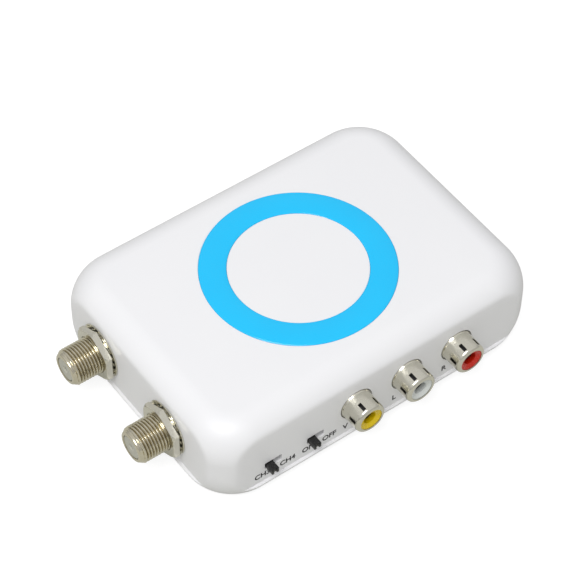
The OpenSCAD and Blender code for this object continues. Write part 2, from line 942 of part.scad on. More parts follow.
// Socket for a barrel plug: a block on the board with a round nose in the case wall
module power_socket_body() {
    block_face = -wall - block_gap;
    nose_face = -power_nose_recess;
    color("dimgray")
        difference() {
            union() {
                translate([
                    right_x + block_face - power_block_l, -power_block_w / 2, board_top
                ])
                    cube([power_block_l, power_block_w, power_z - board_top + power_block_w / 2]);
                out_right()
                    translate([0, 0, block_face - cut])
                        cylinder(r = power_nose_r, h = nose_face - block_face + cut);
            }
            out_right() {
                translate([0, 0, nose_face - power_bore_l])
                    cylinder(r = power_bore_r, h = power_bore_l + cut);
                translate([0, 0, nose_face - power_bore_l - power_pin_root])
                    cylinder(r = power_root_r + touch, h = power_pin_root + cut);
            }
        }
}

module power_socket_pin() {
    low = -power_nose_recess - power_bore_l - power_pin_root;
    high = -power_nose_recess - power_pin_recess;
    color("silver")
        out_right()
            rotate_extrude()
                polygon([
                    [0, low],
                    [power_root_r, low],
                    [power_root_r, low + power_pin_root],
                    [power_pin_r, low + power_pin_root],
                    [power_pin_r, high - power_pin_chamfer],
                    [power_pin_r - power_pin_chamfer, high],
                    [0, high]
                ]);
}

// Small-outline chip with a row of legs on both sides
module modulator_chip() {
    color("dimgray")
        translate([chip_at[0], chip_at[1], board_top]) {
            translate([-chip_size[0] / 2, -chip_size[1] / 2, chip_leg_t / 2])
                cube([chip_size[0], chip_size[1], chip_size[2]]);
            for (i = [0:chip_legs - 1])
                translate([(i - (chip_legs - 1) / 2) * chip_pitch - chip_leg_w / 2, 0, 0])
                    translate([0, -chip_size[1] / 2 - chip_leg_l, 0])
                        cube([chip_leg_w, chip_size[1] + 2 * chip_leg_l, chip_leg_t]);
        }
}

// Coil cans with an adjusting core in the top
module tuning_coils() {
    color("silver")
        for (at = coil_at)
            translate([at[0], at[1], board_top]) {
                translate([-coil_w / 2, -coil_w / 2, 0])
                    cube([coil_w, coil_w, coil_h]);
                translate([0, 0, coil_h])
                    cylinder(r = coil_core_r, h = coil_core_h);
            }
}

module crystal() {
    run = crystal_l - 2 * crystal_r;
    color("silver")
        translate([crystal_at[0], crystal_at[1], board_top]) {
            for (part = [[crystal_r + crystal_flange, crystal_flange_t], [crystal_r, crystal_h]]) {
                translate([-run / 2, -part[0], 0])
                    cube([run, 2 * part[0], part[1]]);
                for (x = [-run / 2, run / 2])
                    translate([x, 0, 0])
                        cylinder(r = part[0], h = part[1]);
            }
        }
}

// Electrolytic capacitors, with the groove that the seal leaves in the can
module capacitors() {
    color("slategray")
        for (at = capacitor_at)
            translate([at[0], at[1], board_top])
                rotate_extrude()
                    polygon([
                        [0, 0],
                        [capacitor_r, 0],
                        [capacitor_r, capacitor_h * capacitor_groove_shares[0]],
                        [capacitor_r - capacitor_groove, capacitor_h * capacitor_groove_shares[1]],
                        [capacitor_r, capacitor_h * capacitor_groove_shares[2]],
                        [capacitor_r, capacitor_h - capacitor_groove],
                        [capacitor_r - capacitor_groove, capacitor_h],
                        [0, capacitor_h]
                    ]);
}

// Small round-backed regulator
module voltage_regulator() {
    color("dimgray")
        translate([regulator_at[0], regulator_at[1], board_top])
            difference() {
                cylinder(r = regulator_w / 2, h = regulator_h);
                translate([-regulator_w, -regulator_l / 2 - regulator_w + regulator_flat, -cut])
                    cube([2 * regulator_w, regulator_w, regulator_h + 2 * cut]);
            }
}

upper_shell();
lower_shell();
ring_inlay();
case_screws();
circuit_board();
board_screws();
shield_can();
shield_lid();
antenna_socket_body();
antenna_socket_insulator();
antenna_socket_contact();
antenna_socket_flat_washer();
antenna_socket_lock_washer();
antenna_socket_nut();
tv_socket_body();
tv_socket_insulator();
tv_socket_contact();
tv_socket_flat_washer();
tv_socket_lock_washer();
tv_socket_nut();
phono_block();
video_jack_sleeve();
video_jack_insert();
video_jack_contact();
left_jack_sleeve();
left_jack_insert();
left_jack_contact();
right_jack_sleeve();
right_jack_insert();
right_jack_contact();
channel_switch_frame();
channel_switch_base();
channel_switch_terminals();
channel_switch_knob();
power_switch_frame();
power_switch_base();
power_switch_terminals();
power_switch_knob();
power_socket_body();
power_socket_pin();
modulator_chip();
tuning_coils();
crystal();
capacitors();
voltage_regulator();
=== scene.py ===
"""Looks of a television RF modulator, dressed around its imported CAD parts.

White moulded case with an inlaid blue ring, two threaded aerial sockets on the left end,
three phono jacks and two slide switches in front, and a barrel power socket on the right.
Everything is in metres, in the frame of the CAD parts: +X right, +Y back, +Z up.
"""

import json
import math

import bmesh
import bpy
from mathutils import Matrix, Vector


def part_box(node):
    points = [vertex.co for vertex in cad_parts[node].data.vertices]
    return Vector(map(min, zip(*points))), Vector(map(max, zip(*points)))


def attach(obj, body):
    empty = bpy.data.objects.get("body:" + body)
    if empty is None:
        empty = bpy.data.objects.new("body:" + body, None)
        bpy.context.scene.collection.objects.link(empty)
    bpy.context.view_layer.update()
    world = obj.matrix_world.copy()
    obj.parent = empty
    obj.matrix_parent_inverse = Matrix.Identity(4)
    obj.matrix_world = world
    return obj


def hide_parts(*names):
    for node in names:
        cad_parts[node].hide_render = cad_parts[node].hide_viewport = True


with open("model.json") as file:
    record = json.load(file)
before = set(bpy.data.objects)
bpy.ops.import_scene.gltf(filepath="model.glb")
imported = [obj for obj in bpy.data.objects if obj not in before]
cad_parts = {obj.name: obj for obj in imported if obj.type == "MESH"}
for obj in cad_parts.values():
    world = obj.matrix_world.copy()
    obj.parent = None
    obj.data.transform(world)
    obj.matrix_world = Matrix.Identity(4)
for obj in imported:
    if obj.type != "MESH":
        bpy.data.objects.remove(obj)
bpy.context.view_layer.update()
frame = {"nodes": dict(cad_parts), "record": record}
MM = 0.001
HAIR = 0.05 * MM  # gap between pieces that rest face to face

# Case, from its CAD box and the same curves as the CAD shells
SHELL_LOW, SHELL_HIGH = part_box("upper_shell")
HALF_L, HALF_W, CASE_H, SEAM_H = SHELL_HIGH.x, SHELL_HIGH.y, SHELL_HIGH.z, SHELL_LOW.z
CORNER_R = 14 * MM
TOP_ROUND_W, TOP_ROUND_H = 9 * MM, 10.2 * MM
FOOT_ROUND_W, FOOT_ROUND_H = 5 * MM, 10.3 * MM
PANEL_DEPTH, PANEL_LOW, LEDGE_H, CREASE_SOFT = 1.9 * MM, 4 * MM, 0.8 * MM, 0.5 * MM
WALL, ROOF_T, SEAM_GAP = 2.1 * MM, 2 * MM, 0.1 * MM
FRONT_Y, LEFT_X, RIGHT_X = -HALF_W + PANEL_DEPTH, -HALF_L + PANEL_DEPTH, HALF_L - PANEL_DEPTH
INNER_INSET = PANEL_DEPTH + WALL
EDGE = 0.15 * MM  # moulded or turned edges are broken by this much

# Places along which the loft of the case is cut, for a smooth outline
CORNER_STEPS, TOP_STEPS, FOOT_STEPS = 60, 80, 40

# Thread colour: painted shade, dark brown, below the first radius, fading to pale nickel past the
# second; the roots are rougher and the crests glossier
SHADE_FULL_R, SHADE_GONE_R = 4.28 * MM, 4.55 * MM
ROOT_ROUGH, CREST_ROUGH = 0.4, 0.16
NOSE_L = 1.4 * MM
# From here out to the tip, the smooth nose is kept pale, without the painted shade of the thread roots
NOSE_FROM_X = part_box("tv_socket_body")[0].x + NOSE_L

# Sizes of the patterns in the finishes
CLOUD, SINK, SINK_DEPTH = 18 * MM, 9 * MM, 0.02 * MM
TARNISH, PATCH, WEAVE = 4 * MM, 1.5 * MM, 0.5 * MM
NOISE_LOW, NOISE_HIGH = 0.3, 0.7  # the part of a noise's range that its gloss follows
GLOSS_SPREAD, POLISH_LESS, POLISH_MORE = 0.04, 0.05, 0.07

# Camera at the photograph's angle, found from the object's own corners
CAMERA_AZIMUTH = math.radians(-36.816)
CAMERA_ELEVATION = math.radians(50.281)
CAMERA_ROLL = math.radians(0.835)
CAMERA_DISTANCE = 585.805 * MM
CAMERA_PAN = Vector((1.759, -10.544)) * MM
CAMERA_LENS = 147.39
SENSOR_WIDTH = 36

# Light: an even dome, dim paper below, and a softbox over the lens
HORIZON_LIGHT, ZENITH_LIGHT, DOME_TINT = 0.45, 0.72, (0.99, 0.99, 1.0, 1)
HORIZON_Z, ZENITH_Z = 0.05, 0.75  # heights on the unit dome between which the light grows
PAPER_TINT = (0.54, 0.54, 0.5, 1)
PAPER_PALE, PAPER_GLOW, PAPER_HALF = (0.3, 0.3, 0.3, 1), 0.8, 30
WHITE = (1, 1, 1, 1)
SOFTBOX_LIGHT, SOFTBOX_SIZE, SOFTBOX_DISTANCE = 0.585, 0.6, 1.2
SOFTBOX_AZIMUTH, SOFTBOX_ELEVATION = math.radians(-60), math.radians(60)


def linear(hex_colour):
    """An sRGB hex colour as linear red, green, blue and alpha."""
    parts = [int(hex_colour[i : i + 2], 16) / 255 for i in (1, 3, 5)]
    curve = [p / 12.92 if p <= 0.04045 else ((p + 0.055) / 1.055) ** 2.4 for p in parts]
    return (*curve, 1.0)


def add(tree, kind, inputs=None, **settings):
    """Adds a node, sets its properties, and sets or links its inputs by name or number."""
    node = tree.nodes.new(kind)
    for name, value in settings.items():
        setattr(node, name, value)
    for name, value in (inputs or {}).items():
        if isinstance(value, bpy.types.NodeSocket):
            tree.links.new(value, node.inputs[name])
        else:
            node.inputs[name].default_value = value
    return node


def wire(tree, shader, **sockets):
    """Links the shader's inputs; an underscore stands for a space in their names."""
    for label, socket in sockets.items():
        tree.links.new(socket, shader.inputs[label.replace("_", " ")])


# Materials


def start_material(name, **values):
    """A material with its shader's own values set, its tree, its shader node and its place."""
    material = bpy.data.materials.new(name)
    material.use_nodes = True
    tree = material.node_tree
    shader = tree.nodes["Principled BSDF"]
    for label, value in values.items():
        shader.inputs[label.replace("_", " ")].default_value = value
    place = add(tree, "ShaderNodeTexCoord").outputs["Object"]
    return material, tree, shader, place


def moulded_plastic(name, first, second, gloss, grit=0.35 * MM, relief=0.004 * MM):
    """Injection-moulded plastic: the fine spark-eroded grain of the mould, slow sink and flow
    clouds in its colour, and a gloss that is never quite even. The real grain is near 0.05 mm,
    and it is drawn coarser so that it shows."""
    material, tree, shader, place = start_material(name, IOR=1.5)
    clouds = add(tree, "ShaderNodeTexNoise", {"Vector": place, "Scale": 1 / CLOUD, "Detail": 3.0})
    grain = add(tree, "ShaderNodeTexNoise", {"Vector": place, "Scale": 1 / grit, "Detail": 1.0})
    sink = add(tree, "ShaderNodeTexNoise", {"Vector": place, "Scale": 1 / SINK, "Detail": 1.0})
    colours = {0: clouds.outputs["Fac"], 6: linear(first), 7: linear(second)}
    tint = add(tree, "ShaderNodeMix", colours, data_type="RGBA")
    uneven = {"Value": grain.outputs["Fac"], "From Min": NOISE_LOW, "From Max": NOISE_HIGH}
    uneven |= {"To Min": gloss - GLOSS_SPREAD, "To Max": gloss + GLOSS_SPREAD}
    sheen = add(tree, "ShaderNodeMapRange", uneven)
    dents = {"Strength": 0.5, "Distance": SINK_DEPTH, "Height": sink.outputs["Fac"]}
    slow = add(tree, "ShaderNodeBump", dents)
    sparks = {"Strength": 0.6, "Distance": relief, "Height": grain.outputs["Fac"]}
    fine = add(tree, "ShaderNodeBump", {**sparks, "Normal": slow.outputs[0]})
    wire(tree, shader, Base_Color=tint.outputs[2], Roughness=sheen.outputs[0], Normal=fine.outputs[0])
    return material


def plated_metal(name, first, second, polish, stretch=(1, 1, 1), grain=0.6 * MM, relief=0.002 * MM):
    """Plated metal: faint tarnish clouds in its tint, and drawing or turning lines that run
    along the axis where stretch is small."""
    material, tree, shader, place = start_material(name, Metallic=1.0)
    tarnish = add(tree, "ShaderNodeTexNoise", {"Vector": place, "Scale": 1 / TARNISH, "Detail": 3.0})
    drawn = add(tree, "ShaderNodeMapping", {"Vector": place, "Scale": stretch})
    strokes = {"Vector": drawn.outputs[0], "Scale": 1 / grain, "Detail": 2.0}
    lines = add(tree, "ShaderNodeTexNoise", strokes)
    colours = {0: tarnish.outputs["Fac"], 6: linear(first), 7: linear(second)}
    tint = add(tree, "ShaderNodeMix", colours, data_type="RGBA")
    uneven = {"Value": lines.outputs["Fac"], "From Min": NOISE_LOW, "From Max": NOISE_HIGH}
    uneven |= {"To Min": polish - POLISH_LESS, "To Max": polish + POLISH_MORE}
    sheen = add(tree, "ShaderNodeMapRange", uneven)
    scratches = {"Strength": 0.5, "Distance": relief, "Height": lines.outputs["Fac"]}
    bump = add(tree, "ShaderNodeBump", scratches)
    wire(tree, shader, Base_Color=tint.outputs[2], Roughness=sheen.outputs[0], Normal=bump.outputs[0])
    return material


def white_abs():
    """Satin white ABS of the case: fine moulded grain, clean and neutral."""
    return moulded_plastic("satin_white_abs", "#e2e2e4", "#e5e5e6", 0.4)


def blue_acrylic():
    """Glossy cast blue acrylic of the ring: polished, with a bright saturated body."""
    return moulded_plastic("polished_blue_acrylic", "#00b6ec", "#06bef2", 0.14, 0.8 * MM, 0.001 * MM)


def threaded_nickel(name, centre):
    """Nickel-plated brass turned on a lathe: painted shade, dark brown, in the roots of the thread,
    and pale nickel on its crests and smooth nose, told apart by the distance from the axis."""
    material, tree, shader, place = start_material(name, Metallic=1.0)
    radial = add(tree, "ShaderNodeMapping", {"Vector": place, "Location": (0, -centre.y, -centre.z)})
    flat = add(tree, "ShaderNodeVectorMath", {0: radial.outputs[0], 1: (0, 1, 1)}, operation="MULTIPLY")
    radius = add(tree, "ShaderNodeVectorMath", {0: flat.outputs[0]}, operation="LENGTH")
    patches = add(tree, "ShaderNodeTexNoise", {"Vector": place, "Scale": 1 / PATCH, "Detail": 3.0})
    reach = {"Value": radius.outputs["Value"], "From Min": SHADE_FULL_R, "From Max": SHADE_GONE_R}
    edge = add(tree, "ShaderNodeMapRange", reach)
    split = add(tree, "ShaderNodeSeparateXYZ", {0: place})
    nose = add(tree, "ShaderNodeMath", {0: split.outputs["X"], 1: NOSE_FROM_X}, operation="LESS_THAN")
    # Share of pale nickel: 0 where the thread roots get painted shade, 1 on the crests and the nose
    unshaded = add(tree, "ShaderNodeMath", {0: edge.outputs[0], 1: nose.outputs[0]}, operation="MAXIMUM")
    # Dark brown painted shade for the thread roots, pale nickel for the crests and nose
    colours = {0: unshaded.outputs[0], 6: linear("#a2977b"), 7: linear("#dfdac9")}
    shaded_roots = add(tree, "ShaderNodeMix", colours, data_type="RGBA")
    stains = {0: patches.outputs["Fac"], 6: shaded_roots.outputs[2], 7: linear("#e9e4d6")}
    shaded_and_stained = add(tree, "ShaderNodeMix", stains, data_type="RGBA", blend_type="MULTIPLY")
    dull = {"Value": unshaded.outputs[0], "To Min": ROOT_ROUGH, "To Max": CREST_ROUGH}
    polish = add(tree, "ShaderNodeMapRange", dull)
    marks = {"Strength": 0.4, "Distance": 0.002 * MM, "Height": patches.outputs["Fac"]}
    relief = add(tree, "ShaderNodeBump", marks)
    wire(tree, shader, Base_Color=shaded_and_stained.outputs[2], Roughness=polish.outputs[0], Normal=relief.outputs[0])
    return material


def nickel_plate():
    """Bright nickel plate on drawn or stamped parts: pale, slightly warm mirror."""
    return plated_metal("bright_nickel_plate", "#d6d3c4", "#e0ddd0", 0.2)


def screw_steel():
    """Zinc-plated screw steel: pale grey, a little dull."""
    return plated_metal("zinc_plated_steel", "#a9abac", "#bcbec0", 0.35)


def tinned_steel():
    """Tin-plated sheet steel of the cans and switch frames: soft grey, rolled grain."""
    return plated_metal("tin_plated_sheet", "#b7b4ab", "#c9c6bd", 0.38, (0.2, 1, 1))


def gold_contact():
    """Gold-flashed spring contact: thin warm gold over nickel."""
    return plated_metal("gold_flashed_contact", "#c79a4a", "#d9b061", 0.25)


def white_insulator():
    """Moulded socket insulator: chalky greyish white, nearly matt."""
    return moulded_plastic("chalky_white_insulator", "#adac9f", "#b6b5a8", 0.5)


def black_abs():
    """Black moulded switch knob: deep black with soft shine on its edges."""
    return moulded_plastic("satin_black_abs", "#09090a", "#111112", 0.3)


def black_nylon():
    """Black glass-filled nylon behind the jacks: dull and slightly streaked. It is also put on the
    phono inserts, behind the cap and deep in the pin bore, as painted shade.
    """
    return moulded_plastic("dull_black_nylon", "#141414", "#202020", 0.55, 0.5 * MM, 0.01 * MM)


def yellow_abs():
    """Yellow ABS insert of the picture jack, moulded in a polished tool: glossy and even."""
    return moulded_plastic("glossy_yellow_abs", "#d2b400", "#dcc010", 0.26)


def jack_white_abs():
    """White ABS insert of the left sound jack: glossy, a shade greyer than the case."""
    return moulded_plastic("glossy_white_abs", "#c9cdca", "#d2d5d2", 0.26)


def red_abs():
    """Red ABS insert of the right sound jack, moulded in a polished tool: glossy and even."""
    return moulded_plastic("glossy_red_abs", "#b51c08", "#c2250f", 0.26)


def printed_ink():
    """Pad-printed dark ink of the labels: thin, flat black that leaves the grain showing."""
    return moulded_plastic("pad_printed_ink", "#18181a", "#202022", 0.6)


def board_green():
    """Green solder mask over glass cloth: a faint square weave under a glossy lacquer."""
    finish = start_material("green_solder_mask", Roughness=0.3, IOR=1.5)
    material, tree, shader, place = finish
    cloth = {0: place, 1: linear("#0f5a2c"), 2: linear("#156a35"), 3: 1 / WEAVE}
    weave = add(tree, "ShaderNodeTexChecker", cloth)
    threads = {"Strength": 0.3, "Distance": 0.01 * MM, "Height": weave.outputs["Fac"]}
    relief = add(tree, "ShaderNodeBump", threads)
    wire(tree, shader, Base_Color=weave.outputs["Color"], Normal=relief.outputs[0])
    return material


def phenolic():
    """Brown phenolic sheet of the switch bases: paper fibres under a dull resin."""
    return moulded_plastic("brown_phenolic_sheet", "#6b4a2c", "#7b583a", 0.55, 0.6 * MM)


def chip_epoxy():
    """Moulded black epoxy of the chips: matt, with a fine filler grain."""
    return moulded_plastic("matt_black_epoxy", "#18181a", "#232326", 0.6, 0.3 * MM, 0.008 * MM)


def capacitor_can():
    """Drawn aluminium can of the capacitors: pale with lines round the can."""
    return plated_metal("drawn_aluminium_can", "#a4a6a8", "#b4b6b8", 0.32, (1, 1, 4))


AERIALS, PHONOS, SWITCHES = ("antenna", "tv"), ("video", "left", "right"), ("channel", "power")

# The record's slot names, each with the finish that it takes
FINISHES = {
    "white_abs": white_abs(),
    "blue_acrylic": blue_acrylic(),
    "nickel_plate": nickel_plate(),
    "screw_steel": screw_steel(),
    "tinned_steel": tinned_steel(),
    "fr4_green": board_green(),
    "white_insulator": white_insulator(),
    "gold_contact": gold_contact(),
    "black_abs": black_abs(),
    "grey_nylon": black_nylon(),
    "yellow_abs": yellow_abs(),
    "jack_white_abs": jack_white_abs(),
    "red_abs": red_abs(),
    "phenolic": phenolic(),
    "chip_epoxy": chip_epoxy(),
    "capacitor_sleeve": capacitor_can(),
}
for side in AERIALS:
    low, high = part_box(side + "_socket_body")
    name = side + "_socket_threaded_nickel"
    FINISHES[name] = threaded_nickel(name, (low + high) / 2)
FINISHES["nickel_thread"] = FINISHES["tv_socket_threaded_nickel"]
SLOT_OF = {row["node"]: row["material_slot"] for row in frame["record"]["subparts"]}


def paint_nodes():
    """Every CAD node takes the finish of its own material slot."""
    for name, node in frame["nodes"].items():
        node.data.materials.clear()
        node.data.materials.append(FINISHES[SLOT_OF[name]])


# Meshes


def solid(name, points, faces, sharp=30, outwards=True):
    """An object from points and faces: doubles merged, faces outwards, smooth but for edges
    that turn by more than sharp degrees."""
    mesh = bpy.data.meshes.new(name)
    mesh.from_pydata([tuple(p) for p in points], [], faces)
    work = bmesh.new()
    work.from_mesh(mesh)
    bmesh.ops.remove_doubles(work, verts=work.verts, dist=0.0005 * MM)
    if outwards:
        bmesh.ops.recalc_face_normals(work, faces=work.faces)
    work.to_mesh(mesh)
    work.free()
    made = placed(name, mesh)
    shade(made, sharp)
    return made


def placed(name, data):
    """A new object in the scene."""
    made = bpy.data.objects.new(name, data)
    bpy.context.scene.collection.objects.link(made)
    return made


def shade(made, sharp=30):
    """Smooth shading with sharp edges past an angle in degrees."""
    made.data.shade_smooth()
    made.data.set_sharp_from_angle(angle=math.radians(sharp))


def turned(name, profile_at, steps=96, sharp=30):
    """A solid turned round Z. profile_at gives the closed profile at an angle, as
    (radius, height) points; a list stands for the same profile all round."""
    rings = []
    for k in range(steps):
        angle = math.tau * k / steps
        profile = profile_at(angle) if callable(profile_at) else profile_at
        rings.append([(r * math.cos(angle), r * math.sin(angle), z) for r, z in profile])
    count = len(rings[0])
    points = [p for ring in rings for p in ring]
    starts = [k * count for k in range(steps)]
    faces = [
        (a + j, b + j, b + (j + 1) % count, a + (j + 1) % count)
        for a, b in zip(starts, starts[1:] + starts[:1])
        for j in range(count)
    ]
    return solid(name, points, faces, sharp)


def stacked(name, rings):
    """A solid through closed outlines of equal length, from the lowest to the highest."""
    count, last = len(rings[0]), len(rings) - 1
    points = [p for ring in rings for p in ring]
    faces = [
        (a + j, a + (j + 1) % count, a + count + (j + 1) % count, a + count + j)
        for a in range(0, last * count, count)
        for j in range(count)
    ]
    faces.append(tuple(range(count - 1, -1, -1)))
    faces.append(tuple(last * count + j for j in range(count)))
    return solid(name, points, faces)


def rounded(half_l, half_w, radius, steps):
    """Points round a rectangle with round corners, centred."""
    return [
        (
            side_x * (half_l - radius) + radius * math.cos(math.pi / 2 * (c + i / steps)),
            side_y * (half_w - radius) + radius * math.sin(math.pi / 2 * (c + i / steps)),
        )
        for c, (side_x, side_y) in enumerate([(1, 1), (-1, 1), (-1, -1), (1, -1)])
        for i in range(steps + 1)
    ]


def plate(name, half_l, half_w, radius, low, high, steps):
    """A straight plate with round corners."""
    outline = rounded(half_l, half_w, radius, steps)
    return stacked(name, [[(x, y, z) for x, y in outline] for z in (low, high)])


def block(name, low, high):
    """A plain box between two corners."""
    half = (Vector(high) - Vector(low)) / 2
    centre = (Vector(high) + Vector(low)) / 2
    corners = [(-half.x, -half.y), (half.x, -half.y), (half.x, half.y), (-half.x, half.y)]
    made = stacked(name, [[(x, y, z) for x, y in corners] for z in (-half.z, half.z)])
    return moved(made, Matrix.Translation(centre))


def moved(made, matrix):
    """Moves the object's mesh; the object itself stays at the origin."""
    made.data.transform(matrix)
    return made


def settle(made):
    """Turns the object's modifiers into plain mesh."""
    bpy.context.view_layer.update()
    graph = bpy.context.evaluated_depsgraph_get()
    shape = bpy.data.meshes.new_from_object(made.evaluated_get(graph))
    made.modifiers.clear()
    made.data = shape
    return made


def carve(made, others, how="DIFFERENCE"):
    """Cuts the others from the object, or joins them to it, and removes them."""
    for other in others:
        knife = made.modifiers.new("carve", "BOOLEAN")
        knife.operation = how
        knife.solver = "EXACT"
        knife.object = other
        settle(made)
        bpy.data.objects.remove(other)
    shade(made)
    return made


def eased(made, width):
    """Small bevels along every edge that turns by more than 30 degrees."""
    bevel = made.modifiers.new("ease", "BEVEL")
    bevel.width = width
    bevel.segments = 3
    bevel.limit_method = "ANGLE"
    bevel.angle_limit = math.radians(30)
    settle(made)
    shade(made)
    return made


def axes(right, up, out, origin):
    """Matrix that draws local X, Y and Z along three directions from an origin."""
    return Matrix.Translation(origin) @ Matrix((right, up, out)).transposed().to_4x4()


def middle(node):
    """Middle of a CAD node's box."""
    low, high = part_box(node)
    return (low + high) / 2


def out_left(side):
    """Placement along an aerial socket's axis: local Z leaves the left panel."""
    at = middle(side + "_socket_body")
    return axes((0, 0, 1), (0, 1, 0), (-1, 0, 0), (LEFT_X, at.y, at.z))


def on_front(x, y, z):
    """Placement on the front panel: local X to the right, Y up and Z out of the panel."""
    return axes((1, 0, 0), (0, 0, 1), (0, -1, 0), (x, y, z))


def out_front(side):
    """Placement along a phono jack's axis: local Z leaves the front panel."""
    at = middle(side + "_jack_sleeve")
    return on_front(at.x, FRONT_Y, at.z)


def out_right():
    """Placement along the power socket's axis: local Z leaves the right end."""
    at = middle("power_socket_pin")
    return axes((0, 0, -1), (0, 1, 0), (1, 0, 0), (RIGHT_X, at.y, at.z))


def dress(made, *nodes, body="case"):
    """The finished piece stands for CAD nodes, takes their finish and rides on their body."""
    slot = SLOT_OF[nodes[0]]
    made.data.materials.clear()
    made.data.materials.append(FINISHES[slot])
    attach(made, body)
    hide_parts(*nodes)
    return made


# Geometry Nodes trees

ROOT_SHARE, CREST_SHARE = 0.1, 0.3  # flat parts of the thread, as shares of its pitch


def start_tree(name, inputs):
    """A Geometry Nodes tree with inputs of named kinds, and its Group Input node."""
    tree = bpy.data.node_groups.new(name, "GeometryNodeTree")
    for label, kind in [("Geometry", "Geometry"), *inputs.items()]:
        tree.interface.new_socket(label, in_out="INPUT", socket_type="NodeSocket" + kind)
    tree.interface.new_socket("Geometry", in_out="OUTPUT", socket_type="NodeSocketGeometry")
    return tree, add(tree, "NodeGroupInput")


def end_tree(tree, start, geometry):
    """Makes instances real, gives them the Material input and closes the tree."""
    real = add(tree, "GeometryNodeRealizeInstances", {"Geometry": geometry})
    paint = {"Geometry": real.outputs[0], "Material": start.outputs["Material"]}
    painted = add(tree, "GeometryNodeSetMaterial", paint)
    add(tree, "NodeGroupOutput", {"Geometry": painted.outputs[0]})
    return tree


def thread_tree():
    """Cuts a right-hand thread into whatever stands above the root radius, past Start."""
    sizes = {"Pitch": "Float", "Root Radius": "Float", "Crest Radius": "Float", "Start": "Float"}
    tree, start = start_tree("cut_thread", {**sizes, "Material": "Material"})
    given = start.outputs
    here = add(tree, "GeometryNodeInputPosition").outputs[0]
    x, y, z = add(tree, "ShaderNodeSeparateXYZ", {0: here}).outputs
    flat = add(tree, "ShaderNodeCombineXYZ", {"X": x, "Y": y}).outputs[0]
    radius = add(tree, "ShaderNodeVectorMath", {0: flat}, operation="LENGTH").outputs["Value"]
    outwards = add(tree, "ShaderNodeVectorMath", {0: flat}, operation="NORMALIZE").outputs[0]

    # Phase runs from 0 to 1 over each turn; the tooth has a flat crest and a flat root
    angle = add(tree, "ShaderNodeMath", {0: y, 1: x}, operation="ARCTAN2").outputs[0]
    turns = add(tree, "ShaderNodeMath", {0: angle, 1: math.tau}, operation="DIVIDE")
    rises = add(tree, "ShaderNodeMath", {0: z, 1: given["Pitch"]}, operation="DIVIDE")
    lead = {0: rises.outputs[0], 1: turns.outputs[0]}
    along = add(tree, "ShaderNodeMath", lead, operation="SUBTRACT").outputs[0]
    phase = add(tree, "ShaderNodeMath", {0: along}, operation="FRACT").outputs[0]
    wave = add(tree, "ShaderNodeMath", {0: phase, 1: 0.5}, operation="PINGPONG").outputs[0]
    flank = {"Value": wave, "From Min": ROOT_SHARE / 2, "From Max": 0.5 - CREST_SHARE / 2}
    flank |= {"To Min": given["Root Radius"], "To Max": given["Crest Radius"]}
    tooth = add(tree, "ShaderNodeMapRange", flank).outputs[0]
    above = add(tree, "ShaderNodeMath", {0: radius, 1: tooth}, operation="SUBTRACT")
    cut = add(tree, "ShaderNodeMath", {0: above.outputs[0], 1: 0.0}, operation="MAXIMUM")
    back = add(tree, "ShaderNodeMath", {0: cut.outputs[0], 1: -1.0}, operation="MULTIPLY")
    inwards = {0: outwards, "Scale": back.outputs[0]}
    shift = add(tree, "ShaderNodeVectorMath", inwards, operation="SCALE")
    past = add(tree, "ShaderNodeMath", {0: z, 1: given["Start"]}, operation="GREATER_THAN")
    push = {"Geometry": given["Geometry"], "Selection": past.outputs[0], "Offset": shift.outputs[0]}
    shaped = add(tree, "GeometryNodeSetPosition", push)
    return end_tree(tree, start, shaped.outputs[0])


def ring_tree():
    """Copies of a small block round a circle, each facing outwards and twisted on its own axis,
    beside the geometry that comes in."""
    sizes = {"Count": "Int", "Radius": "Float", "Size": "Vector", "Twist": "Float"}
    sizes |= {"First": "Float", "Height": "Float"}
    tree, start = start_tree("blocks_round_a_ring", {**sizes, "Material": "Material"})
    given = start.outputs
    round_it = {"Vertices": given["Count"], "Radius": given["Radius"]}
    circle = add(tree, "GeometryNodeMeshCircle", round_it)
    place = add(tree, "GeometryNodeInputPosition")
    facing = add(tree, "FunctionNodeAlignRotationToVector", {"Vector": place.outputs[0]}, axis="X")
    lean = add(tree, "ShaderNodeCombineXYZ", {"X": given["Twist"]})
    twist = add(tree, "FunctionNodeEulerToRotation", {0: lean.outputs[0]})
    both = {0: facing.outputs[0], 1: twist.outputs[0]}
    twisted = add(tree, "FunctionNodeRotateRotation", both, rotation_space="LOCAL")
    one = add(tree, "GeometryNodeMeshCube", {"Size": given["Size"]})
    set_out = {"Points": circle.outputs[0], "Instance": one.outputs[0]}
    set_out["Rotation"] = twisted.outputs[0]
    copies = add(tree, "GeometryNodeInstanceOnPoints", set_out)
    turn = add(tree, "ShaderNodeCombineXYZ", {"Z": given["First"]})
    lift = add(tree, "ShaderNodeCombineXYZ", {"Z": given["Height"]})
    aim = {"Geometry": copies.outputs[0], "Translation": lift.outputs[0]}
    aimed = add(tree, "GeometryNodeTransform", {**aim, "Rotation": turn.outputs[0]})
    joined = add(tree, "GeometryNodeJoinGeometry")
    tree.links.new(aimed.outputs[0], joined.inputs[0])
    tree.links.new(given["Geometry"], joined.inputs[0])
    return end_tree(tree, start, joined.outputs[0])


def corner_tree():
    """Copies of the incoming geometry at the four corners of a rectangle."""
    inputs = {"Length": "Float", "Width": "Float", "Material": "Material"}
    tree, start = start_tree("copies_at_corners", inputs)
    given = start.outputs
    grid = {"Size X": given["Length"], "Size Y": given["Width"], "Vertices X": 2, "Vertices Y": 2}
    corners = add(tree, "GeometryNodeMeshGrid", grid)
    set_out = {"Points": corners.outputs[0], "Instance": given["Geometry"]}
    copies = add(tree, "GeometryNodeInstanceOnPoints", set_out)
    return end_tree(tree, start, copies.outputs[0])


